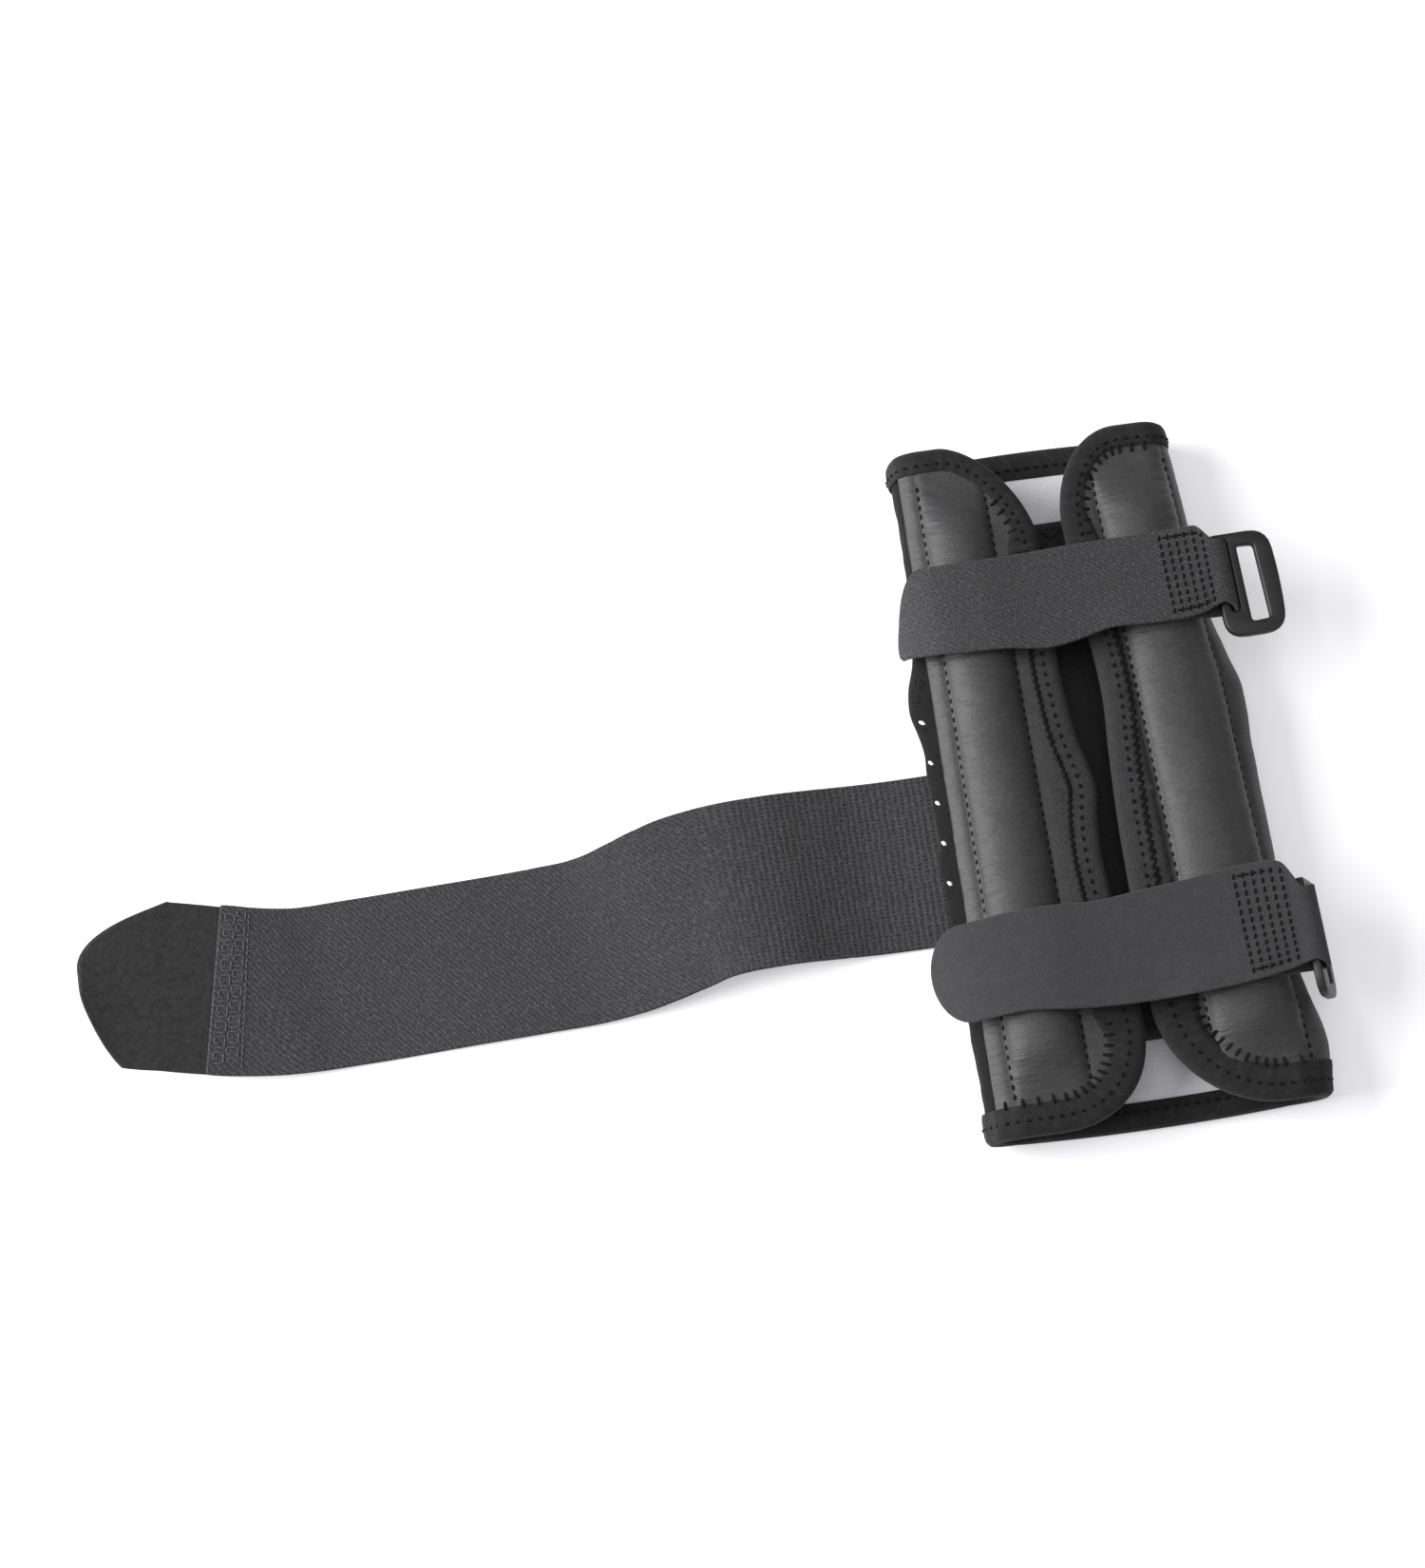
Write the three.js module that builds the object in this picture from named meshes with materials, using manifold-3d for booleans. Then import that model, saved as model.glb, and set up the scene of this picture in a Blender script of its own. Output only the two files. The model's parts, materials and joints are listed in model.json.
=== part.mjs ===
// A soft wrist guard, rolled into a flat tube and lying on its back.
// Millimetres. +Y runs along the forearm towards the hand, +X to the wearer's ring side, +Z up.
// The origin is on the underside, in the middle of the tube.
import * as THREE from 'three';
import { mergeVertices } from 'three/addons/utils/BufferGeometryUtils.js';
import Module from 'manifold-3d';

const wasm = await Module();
wasm.setup();

// ---- Driving dimensions ----
const LENGTH = 200; // forearm end to hand end
const HALF_WIDTH = 44.5; // middle of the tube to the outside of its rolled side
const TAPER = 0.07; // the forearm end is wider than the middle by this share, the hand end narrower
const WALL = 2.2; // padded fabric wall
const SIDE_RADIUS = 9.5; // outside of the rolled sides, so the tube is twice this high
const GAP = 0.3; // between pieces that touch
const TAPE = 0.8; // binding tape
const PATCH = 0.6; // hook-and-loop patches
const BINDING_WIDTH = 7.5; // how far the binding reaches in from an edge

// Front wings and the leather covers sewn on them
const FRONT_GAP = 9; // between the two wings
const WING_CORNER = 22; // rounded ends of the wings' free edges
const COVER = 1.2; // leather
const COVER_ROLL = 50; // degrees round the side at which the leather stops
const POCKET_CENTRE = 26; // of the splint pocket, from the tube's middle
const POCKET_HALF = 9;
const POCKET_RISE = 4.6; // of the leather over the splint and its foam
const POCKET_ROUND = 0.6; // exponent of the pocket's rounded section
const POCKET_FULL = 70; // the pocket keeps its height to here, along the tube
const POCKET_END = 87; // and is sewn flat from here

// Splints
const SPLINT_WIDTH = 13;
const SPLINT = 1.6;
const SPLINT_LENGTH = 146;
const FOAM_HALF_WIDTH = 5.6;
const FOAM_HALF_LENGTH = 62;

// Layers inside the back
const LINING = 1.2;
const PAD_HALF_WIDTH = 22;
const PAD_HAND_END = 80;
const PAD_FOREARM_END = -76;
const PAD = 3;

// Straps
const STRAP = 1.2; // narrow straps
const STRAP_HINGE_X = 26; // where a narrow strap peels up, beside its box seam
const TOP_LAYER = 27.9; // height of the middle of a narrow strap over the right pocket
const UNDER_LAYER = 26.1; // and of its layer below, which comes back from the ring
const FOLD_RADIUS = 2.9; // of the middle of the strap, round the ring's inner bar
const RING = 2.6; // plastic
const RING_BAR = 3; // inner bar, inside the fold
const RING_STRAP_SLOT = 2.6; // slot that the fold passes through
const RING_MIDDLE_BAR = 3;
const RING_SLOT = 5; // free slot
const RING_OUTER_BAR = 5;
const RING_Z = 26;
const WRIST_STRAP = 1.3;
const WRIST_STRAP_WIDTH = 49;
const WRIST_STRAP_Y = -12.5;
const STRAP_DRIFT = 8; // the outer stretch lies this far towards the forearm
const DRIFT_START = -105;
const DRIFT_END = -152;
const TAB_START = -231; // of the hook tab, which is lapped under the strap's end
const TAB_TIP = -293;
const TAB_BEND = -238; // where the strap starts to bend back towards the hand
const TAB_DRIFT = 10.3;

const WIDE = 60; // further out than any wall, for cutting shapes
const END = LENGTH / 2;
const SIDE_X = HALF_WIDTH - SIDE_RADIUS; // middle of the rolled sides
const ROLL_TOP = 2 * SIDE_RADIUS;
const COVER_OFFSET = GAP + COVER; // from the wall's outside to the leather's outside
const TAPE_OFFSET = COVER_OFFSET + GAP;

// ---- Materials ----
const paint = (color, roughness, metalness = 0) => new THREE.MeshStandardMaterial({ color, roughness, metalness });
const leather = paint(0x4b4c50, 0.5);
const neoprene = paint(0x232325, 0.9);
const lining = paint(0xb9bbbd, 0.9);
const padFabric = paint(0x1c1c1e, 0.95);
const bindingTape = paint(0x2e2f31, 0.85);
const strapFabric = paint(0x3d3e41, 0.9);
const hookTape = paint(0x333436, 0.95);
const foam = paint(0x6b6b6b, 1);
const aluminium = paint(0xa9abad, 0.4, 1);
const plastic = paint(0x252629, 0.45);

// ---- Solids ----
function toSolid(geometry) {
  const bare = geometry.clone();
  bare.deleteAttribute('normal');
  bare.deleteAttribute('uv');
  const merged = mergeVertices(bare, 1e-4);
  const triVerts = new Uint32Array(merged.index.array);
  return new wasm.Manifold(new wasm.Mesh({ numProp: 3, vertProperties: merged.attributes.position.array, triVerts }));
}

function toGeometry(solid) {
  const { vertProperties, triVerts } = solid.getMesh();
  return new THREE.BufferGeometry()
    .setAttribute('position', new THREE.BufferAttribute(vertProperties, 3))
    .setIndex(new THREE.BufferAttribute(triVerts, 1));
}

const intersect = (a, b) => toGeometry(toSolid(a).intersect(toSolid(b)));
const subtract = (a, b) => toGeometry(toSolid(a).subtract(toSolid(b)));

function mapPoints(geometry, change) {
  const position = geometry.attributes.position;
  const point = new THREE.Vector3();
  for (let i = 0; i < position.count; i++) {
    point.fromBufferAttribute(position, i);
    change(point);
    position.setXYZ(i, point.x, point.y, point.z);
  }
  return geometry;
}

const taperAt = (y) => 1 - (TAPER * y) / END;
const tapered = (geometry) => mapPoints(geometry, (p) => p.setX(p.x * taperAt(p.y)));

// The section of a layer that follows a line of (x, z) points, between two distances to the left of it.
// At its ends the line keeps on bending, so that the cut is square to the curve and not to the last chord.
function layer(points, low, high) {
  const chord = (i) => points[i + 1].clone().sub(points[i]).normalize();
  const last = points.length - 1;
  const beyond = (i, next) => chord(i).multiplyScalar(2).sub(chord(next)).normalize();
  const normals = points.map((point, i) => {
    const into = i > 0 ? chord(i - 1) : beyond(0, Math.min(1, last - 1));
    const out = i < last ? chord(i) : beyond(last - 1, Math.max(last - 2, 0));
    const tangent = into.clone().add(out).normalize();
    return new THREE.Vector2(-tangent.y, tangent.x).divideScalar(tangent.dot(out));
  });
  const side = (distance) => points.map((point, i) => point.clone().addScaledVector(normals[i], distance));
  return new THREE.Shape([...side(low), ...side(high).reverse()]);
}

// An (x, z) section made solid between two places along the tube.
function along(shape, from, to, steps = 1) {
  const options = { depth: to - from, steps, bevelEnabled: false, curveSegments: 6 };
  return new THREE.ExtrudeGeometry(shape, options).rotateX(Math.PI / 2).translate(0, to, 0);
}

// An (x, y) outline made solid between two heights.
function upright(shape, low, high, curveSegments = 7) {
  const options = { depth: high - low, bevelEnabled: false, curveSegments };
  return new THREE.ExtrudeGeometry(shape, options).translate(0, 0, low);
}

function box(low, high) {
  const size = high.map((h, i) => h - low[i]);
  return new THREE.BoxGeometry(...size).translate(...low.map((l, i) => l + size[i] / 2));
}

function piece(name, geometry, material) {
  const mesh = new THREE.Mesh(geometry, material);
  mesh.name = name;
  return mesh;
}

// ---- Lines that the layers follow, as (x, z) on the right-hand side ----
const point = (x, z) => new THREE.Vector2(x, z);
const arcOfSide = (from, to, parts) => {
  const radians = THREE.MathUtils.degToRad;
  const curve = new THREE.EllipseCurve(SIDE_X, SIDE_RADIUS, SIDE_RADIUS, SIDE_RADIUS, radians(from), radians(to), true);
  return curve.getPoints(parts);
};
const smooth = (points, parts) => new THREE.SplineCurve(points).getPoints(parts);

// Across the pocket the points are closer together at its seams, where it rises steeply.
function acrossPocket(parts) {
  const points = [];
  for (let i = 0; i <= parts; i++) {
    points.push(point(POCKET_CENTRE - POCKET_HALF * Math.cos((Math.PI * i) / parts), ROLL_TOP));
  }
  return points;
}

const HINGE_TURN = THREE.MathUtils.radToDeg(GAP / 2 / SIDE_RADIUS); // half the gap at the side hinge
const wingLine = [point(FRONT_GAP / 2 - 2, ROLL_TOP), ...arcOfSide(90, HINGE_TURN, 8)];
const bindingLine = [point(FRONT_GAP / 2 - 2, ROLL_TOP), ...arcOfSide(90, 35, 6)];
const coverLine = [point(FRONT_GAP / 2 - 2, ROLL_TOP), ...acrossPocket(12), ...arcOfSide(90, COVER_ROLL, 4).slice(1)];
const gussetLine = arcOfSide(-HINGE_TURN, -90, 8);

// ---- Wings, drawn on the right and mirrored for the left ----
function wingOutline(grow) {
  const inner = FRONT_GAP / 2 - grow;
  const end = END + grow;
  const radius = WING_CORNER + grow;
  const outline = new THREE.Shape();
  outline.moveTo(WIDE, -end);
  outline.lineTo(WIDE, end);
  outline.absarc(inner + radius, end - radius, radius, Math.PI / 2, Math.PI, false);
  outline.absarc(inner + radius, radius - end, radius, Math.PI, 1.5 * Math.PI, false);
  return upright(outline, -1, ROLL_TOP + 2 * POCKET_RISE);
}

function pocketHeight(x, y) {
  const across = (Math.abs(x) - POCKET_CENTRE) / POCKET_HALF;
  const fade = 1 - THREE.MathUtils.smoothstep(Math.abs(y), POCKET_FULL, POCKET_END);
  return Math.abs(across) < 1 ? POCKET_RISE * fade * (1 - across ** 2) ** POCKET_ROUND : 0;
}

function wingWall() {
  return tapered(intersect(along(layer(wingLine, -WALL, 0), -END, END), wingOutline(0)));
}

function cover() {
  const sheet = along(layer(coverLine, GAP, COVER_OFFSET), -END, END, 16);
  mapPoints(sheet, (p) => p.setZ(p.z + pocketHeight(p.x, p.y)));
  return tapered(intersect(sheet, wingOutline(0)));
}

// Folded tape over the wing's ends and free edge: a band with a slot for the wall and the leather.
function wingBinding() {
  const reach = END + 2;
  const outer = intersect(
    along(layer(bindingLine, -WALL - GAP - TAPE, TAPE_OFFSET + TAPE), -reach, reach),
    wingOutline(GAP + TAPE),
  );
  const slot = intersect(along(layer(bindingLine, -WALL - GAP, TAPE_OFFSET), -reach, reach), wingOutline(GAP));
  const longer = along(layer(wingLine, -WALL - GAP, TAPE_OFFSET), -END - GAP, END + GAP);
  const edge = intersect(longer, wingOutline(GAP));
  return tapered(subtract(subtract(subtract(outer, slot), edge), wingOutline(-BINDING_WIDTH)));
}

// ---- Splints: flat bars with round ends, and the foam over them ----
function splint(base) {
  const halfWidth = SPLINT_WIDTH / 2;
  const straight = SPLINT_LENGTH / 2 - halfWidth;
  const outline = new THREE.Shape();
  outline.absarc(0, straight, halfWidth, 0, Math.PI, false);
  outline.absarc(0, -straight, halfWidth, Math.PI, 2 * Math.PI, false);
  return upright(outline, base, base + SPLINT, 6);
}

// Arched under the leather.
function splintFoam(base) {
  const arch = [
    point(-FOAM_HALF_WIDTH, base), point(FOAM_HALF_WIDTH, base), point(FOAM_HALF_WIDTH, base + 0.5),
    point(FOAM_HALF_WIDTH * 0.6, base + 1.5), point(0, base + 2),
    point(-FOAM_HALF_WIDTH * 0.6, base + 1.5), point(-FOAM_HALF_WIDTH, base + 0.5),
  ];
  return along(new THREE.Shape(arch), -FOAM_HALF_LENGTH, FOAM_HALF_LENGTH);
}

// A splint's parts lie straight in the pocket, whose middle runs at a small angle because the tube tapers.
function inPocket(name, geometry, material) {
  const mesh = piece(name, geometry, material);
  mesh.position.x = POCKET_CENTRE;
  mesh.rotation.z = Math.atan((POCKET_CENTRE * TAPER) / END);
  return mesh;
}

function wing(side) {
  const group = new THREE.Group();
  const base = ROLL_TOP + GAP;
  group.add(
    piece(`${side}_wing_wall`, wingWall(), neoprene),
    piece(`${side}_leather_cover`, cover(), leather),
    piece(`${side}_edge_binding`, wingBinding(), bindingTape),
    inPocket(`${side}_splint`, splint(base), aluminium),
    inPocket(`${side}_splint_foam`, splintFoam(base + SPLINT + GAP), foam),
  );
  return group;
}

// A loop patch sewn on the leather, over the top of the pocket.
function loopPatch(name, y, width) {
  const reach = 6.5;
  const line = [-1, -0.7, -0.35, 0, 0.35, 0.7, 1].map((share) => {
    const x = share * reach;
    return point(x, ROLL_TOP + pocketHeight(POCKET_CENTRE + x, y));
  });
  const low = COVER_OFFSET + GAP;
  return inPocket(name, along(layer(line, low, low + PATCH), y - width / 2, y + width / 2), strapFabric);
}

// ---- Back ----
function backShell() {
  const step = GAP + TAPE; // the ends are thinner, so that the binding lies flush underneath
  const inner = END - BINDING_WIDTH - GAP;
  const section = new THREE.Shape([
    point(-inner, 0), point(inner, 0), point(inner, step), point(END, step),
    point(END, WALL), point(-END, WALL), point(-END, step), point(-inner, step),
  ]);
  const width = 2 * (SIDE_X - GAP);
  const options = { depth: width, bevelEnabled: false };
  const slab = new THREE.ExtrudeGeometry(section, options).rotateX(Math.PI / 2).rotateZ(Math.PI / 2);
  return tapered(slab.translate(-width / 2, 0, 0));
}

function backBinding(end) {
  const top = WALL + 2 * GAP + LINING + TAPE;
  const near = END - BINDING_WIDTH;
  const far = END + GAP + TAPE;
  const section = new THREE.Shape([
    point(near, 0), point(far, 0), point(far, top), point(near, top),
    point(near, top - TAPE), point(far - TAPE, top - TAPE), point(far - TAPE, TAPE), point(near, TAPE),
  ]);
  const width = 2 * (SIDE_X - GAP);
  const options = { depth: width, bevelEnabled: false };
  const strip = new THREE.ExtrudeGeometry(section, options).rotateX(Math.PI / 2).rotateZ(Math.PI / 2);
  strip.translate(-width / 2, 0, 0);
  return tapered(end > 0 ? strip : strip.rotateZ(Math.PI));
}

function backPad(low) {
  const section = new THREE.Shape([
    point(-PAD_HALF_WIDTH, low), point(PAD_HALF_WIDTH, low),
    point(PAD_HALF_WIDTH - 2, low + PAD), point(2 - PAD_HALF_WIDTH, low + PAD),
  ]);
  return along(section, PAD_FOREARM_END, PAD_HAND_END);
}

function back() {
  const group = new THREE.Group();
  const liningTop = WALL + GAP + LINING;
  const inside = SIDE_X - 1.5;
  group.add(
    piece('back_shell', backShell(), neoprene),
    piece('back_lining', tapered(box([-inside, GAP - END, WALL + GAP], [inside, END - GAP, liningTop])), lining),
    piece('back_pad', backPad(liningTop + GAP), padFabric),
    piece('back_binding_hand', backBinding(1), bindingTape),
    piece('back_binding_forearm', backBinding(-1), bindingTape),
  );
  for (const [side, mirror] of [['left', -1], ['right', 1]]) {
    const gusset = piece(`${side}_gusset`, tapered(along(layer(gussetLine, -WALL, 0), -END, END)), neoprene);
    gusset.scale.x = mirror;
    group.add(gusset);
  }
  return group;
}

// ---- Narrow straps: a tab that peels up, and an anchor folded round its ring's bar ----
function tabOutline(tipX, width, corner) {
  const half = width / 2;
  const outline = new THREE.Shape();
  outline.moveTo(WIDE, -half);
  outline.lineTo(WIDE, half);
  outline.absarc(tipX + corner, half - corner, corner, Math.PI / 2, Math.PI, false);
  outline.absarc(tipX + corner, corner - half, corner, Math.PI, 1.5 * Math.PI, false);
  return outline;
}

// Its ring has slipped along the fold, towards the forearm, and the strap is drawn in there to match.
function anchor(width, ringX, slip) {
  const start = STRAP_HINGE_X + GAP / 2;
  const half = width / 2;
  const outline = new THREE.Shape([
    point(0, -half), point(WIDE, -half), point(WIDE, half - slip),
    point(ringX - 4, half - slip), point(ringX - 9, half), point(0, half),
  ]);
  const top = [point(start, TOP_LAYER), point(35, 28.2), point(ringX - 6, 28.5)];
  const fold = new THREE.EllipseCurve(ringX, RING_Z, FOLD_RADIUS, FOLD_RADIUS, 1.75, -1.75, true).getPoints(10);
  const under = [point(ringX - 6, 23.6), point(38, 24.3), point(32, 25.6), point(start, UNDER_LAYER)];
  const folded = along(layer([...top, ...fold, ...under], -STRAP / 2, STRAP / 2), -width, width);
  return intersect(folded, upright(outline, 0, WIDE));
}

// The middle of the ring's inner bar is at x = 0.
function ring(strapWidth) {
  const half = strapWidth / 2 + 2.8;
  const inner = -RING_BAR / 2;
  const strapSlot = RING_BAR / 2;
  const slot = strapSlot + RING_STRAP_SLOT + RING_MIDDLE_BAR;
  const outer = slot + RING_SLOT + RING_OUTER_BAR;
  const corner = 5;
  const outline = new THREE.Shape();
  outline.moveTo(inner, 1 - half);
  outline.lineTo(inner, half - 1);
  outline.lineTo(inner + 1, half);
  outline.absarc(outer - corner, half - corner, corner, Math.PI / 2, 0.1, true);
  outline.absarc(outer - corner, corner - half, corner, -0.1, -Math.PI / 2, true);
  outline.lineTo(inner + 1, -half);
  const hole = (from, to, reach) =>
    new THREE.Path([point(from, -reach), point(to, -reach), point(to, reach), point(from, reach)]);
  outline.holes.push(
    hole(strapSlot, strapSlot + RING_STRAP_SLOT, strapWidth / 2 + 0.6),
    hole(slot, slot + RING_SLOT, strapWidth / 2 - 1.3),
  );
  return upright(outline, -RING / 2, RING / 2, 5);
}

function narrowStrap(name, { y, width, tip, ringX, hang, slip }) {
  const group = new THREE.Group();
  group.position.y = y;
  const end = point(STRAP_HINGE_X - GAP / 2, TOP_LAYER);
  const line = smooth([...tip, point(-26, TOP_LAYER), point(-9, 27.5), point(9, 27.5), end], 18);
  const outline = upright(tabOutline(tip[0].x, width, width * 0.42), 0, WIDE);
  const patch = line.filter((p) => p.x > -37 && p.x < -15);
  const tab = intersect(along(layer(line, -STRAP / 2, STRAP / 2), -width, width), outline);
  const hookTop = -STRAP / 2 - GAP;
  const hook = along(layer(patch, hookTop - PATCH, hookTop), 1.5 - width / 2, width / 2 - 1.5);
  const buckle = piece(`${name}_ring`, ring(width), plastic);
  buckle.position.set(ringX, -slip, RING_Z);
  buckle.rotation.y = THREE.MathUtils.degToRad(hang);
  group.add(
    piece(`${name}_strap_tab`, tab, strapFabric),
    piece(`${name}_strap_hook_patch`, hook, hookTape),
    piece(`${name}_strap_anchor`, anchor(width, ringX, slip), strapFabric),
    buckle,
  );
  return group;
}

// ---- Wide wrist strap, in the stretches between its bends ----
// The strap's middle line in the plane of the table, from its straight root outwards.
function strapMiddle(x) {
  const out = THREE.MathUtils.smoothstep(-x, -DRIFT_START, -DRIFT_END);
  const back = THREE.MathUtils.clamp((TAB_BEND - x) / (TAB_BEND - TAB_TIP), 0, 1);
  return TAB_DRIFT * back ** 1.25 - STRAP_DRIFT * out;
}

// Bends a straight strap sideways, so that it stays square across its middle line.
function bentSideways(geometry) {
  const step = 0.5;
  return mapPoints(geometry, (p) => {
    const slope = (strapMiddle(p.x + step) - strapMiddle(p.x - step)) / (2 * step);
    p.set(p.x - p.y * slope, p.y + strapMiddle(p.x), p.z);
  });
}

function wristStrap() {
  const group = new THREE.Group();
  group.position.y = WRIST_STRAP_Y;
  const half = WRIST_STRAP_WIDTH / 2;
  const stretch = (name, points, parts, material = strapFabric) => {
    const line = smooth(points.map(([x, z]) => point(x, z)).reverse(), parts);
    return piece(name, along(layer(line, -WRIST_STRAP / 2, WRIST_STRAP / 2), -half, half), material);
  };
  const bent = (straight) => {
    straight.geometry = bentSideways(straight.geometry);
    return straight;
  };
  const flat = WRIST_STRAP / 2;
  group.add(
    stretch('wrist_strap_root', [[-41.5, flat], [-58, flat]], 1),
    stretch('wrist_strap_near', [[-58.3, flat], [-68, 1.7], [-80, 4.6], [-94, 8.4]], 8),
    bent(stretch('wrist_strap_middle', [[-94.3, 8.5], [-111, 10.4], [-126, 8], [-140, 3.6], [-152, 1.1], [-164, flat],
      [-188, flat], [-212, flat], [-220, 1], [-228, 1.8]], 26)),
    bent(stretch('wrist_strap_end', [[-228.3, 1.85], [-238, 3.7], [-248, 5.4], [-257, 7.2]], 9)),
  );
  const tab = stretch('wrist_strap_hook_tab', [[TAB_START, 0.9], [-240, 2], [-250, 4], [-262, 6.6], [-274, 9.8],
    [-285, 13], [TAB_TIP, 15.5]], 12, hookTape);
  const outline = upright(tabOutline(TAB_TIP, WRIST_STRAP_WIDTH, 21), -1, WIDE);
  tab.geometry = intersect(tab.geometry, outline);
  group.add(bent(tab));
  return group;
}

// ---- The wrist guard ----
const HAND_STRAP = {
  y: 53.8, width: 26, ringX: 45.8, hang: 0, slip: 5,
  tip: [point(-47, 15.5), point(-45, 20.5), point(-38, 25.4)],
};
const FOREARM_STRAP = {
  y: -49.8, width: 29, ringX: 50, hang: 67, slip: 5,
  tip: [point(-55.5, 19), point(-49, 22.8), point(-40, 25.8)],
};
const leftWing = wing('left');
leftWing.add(
  loopPatch('hand_loop_patch', HAND_STRAP.y, HAND_STRAP.width - 3),
  loopPatch('forearm_loop_patch', FOREARM_STRAP.y, FOREARM_STRAP.width - 3),
);
leftWing.scale.x = -1;
const wristGuard = new THREE.Group();
wristGuard.add(
  back(),
  leftWing,
  wing('right'),
  narrowStrap('hand', HAND_STRAP),
  narrowStrap('forearm', FOREARM_STRAP),
  wristStrap(),
);

export default wristGuard;
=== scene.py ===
"""A soft wrist guard, rolled into a flat open tube and lying on its back: its looks, round the CAD frame.

Lengths are in millimetres until a mesh is made. +Y runs towards the hand, +X to the strap rings, +Z up.
Each mesh carries a cloth attribute, the place of its points on the flat cut in millimetres. The materials
draw weave, grain and wear by it, so a pattern bends with its piece.
"""

import json
import math

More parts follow.
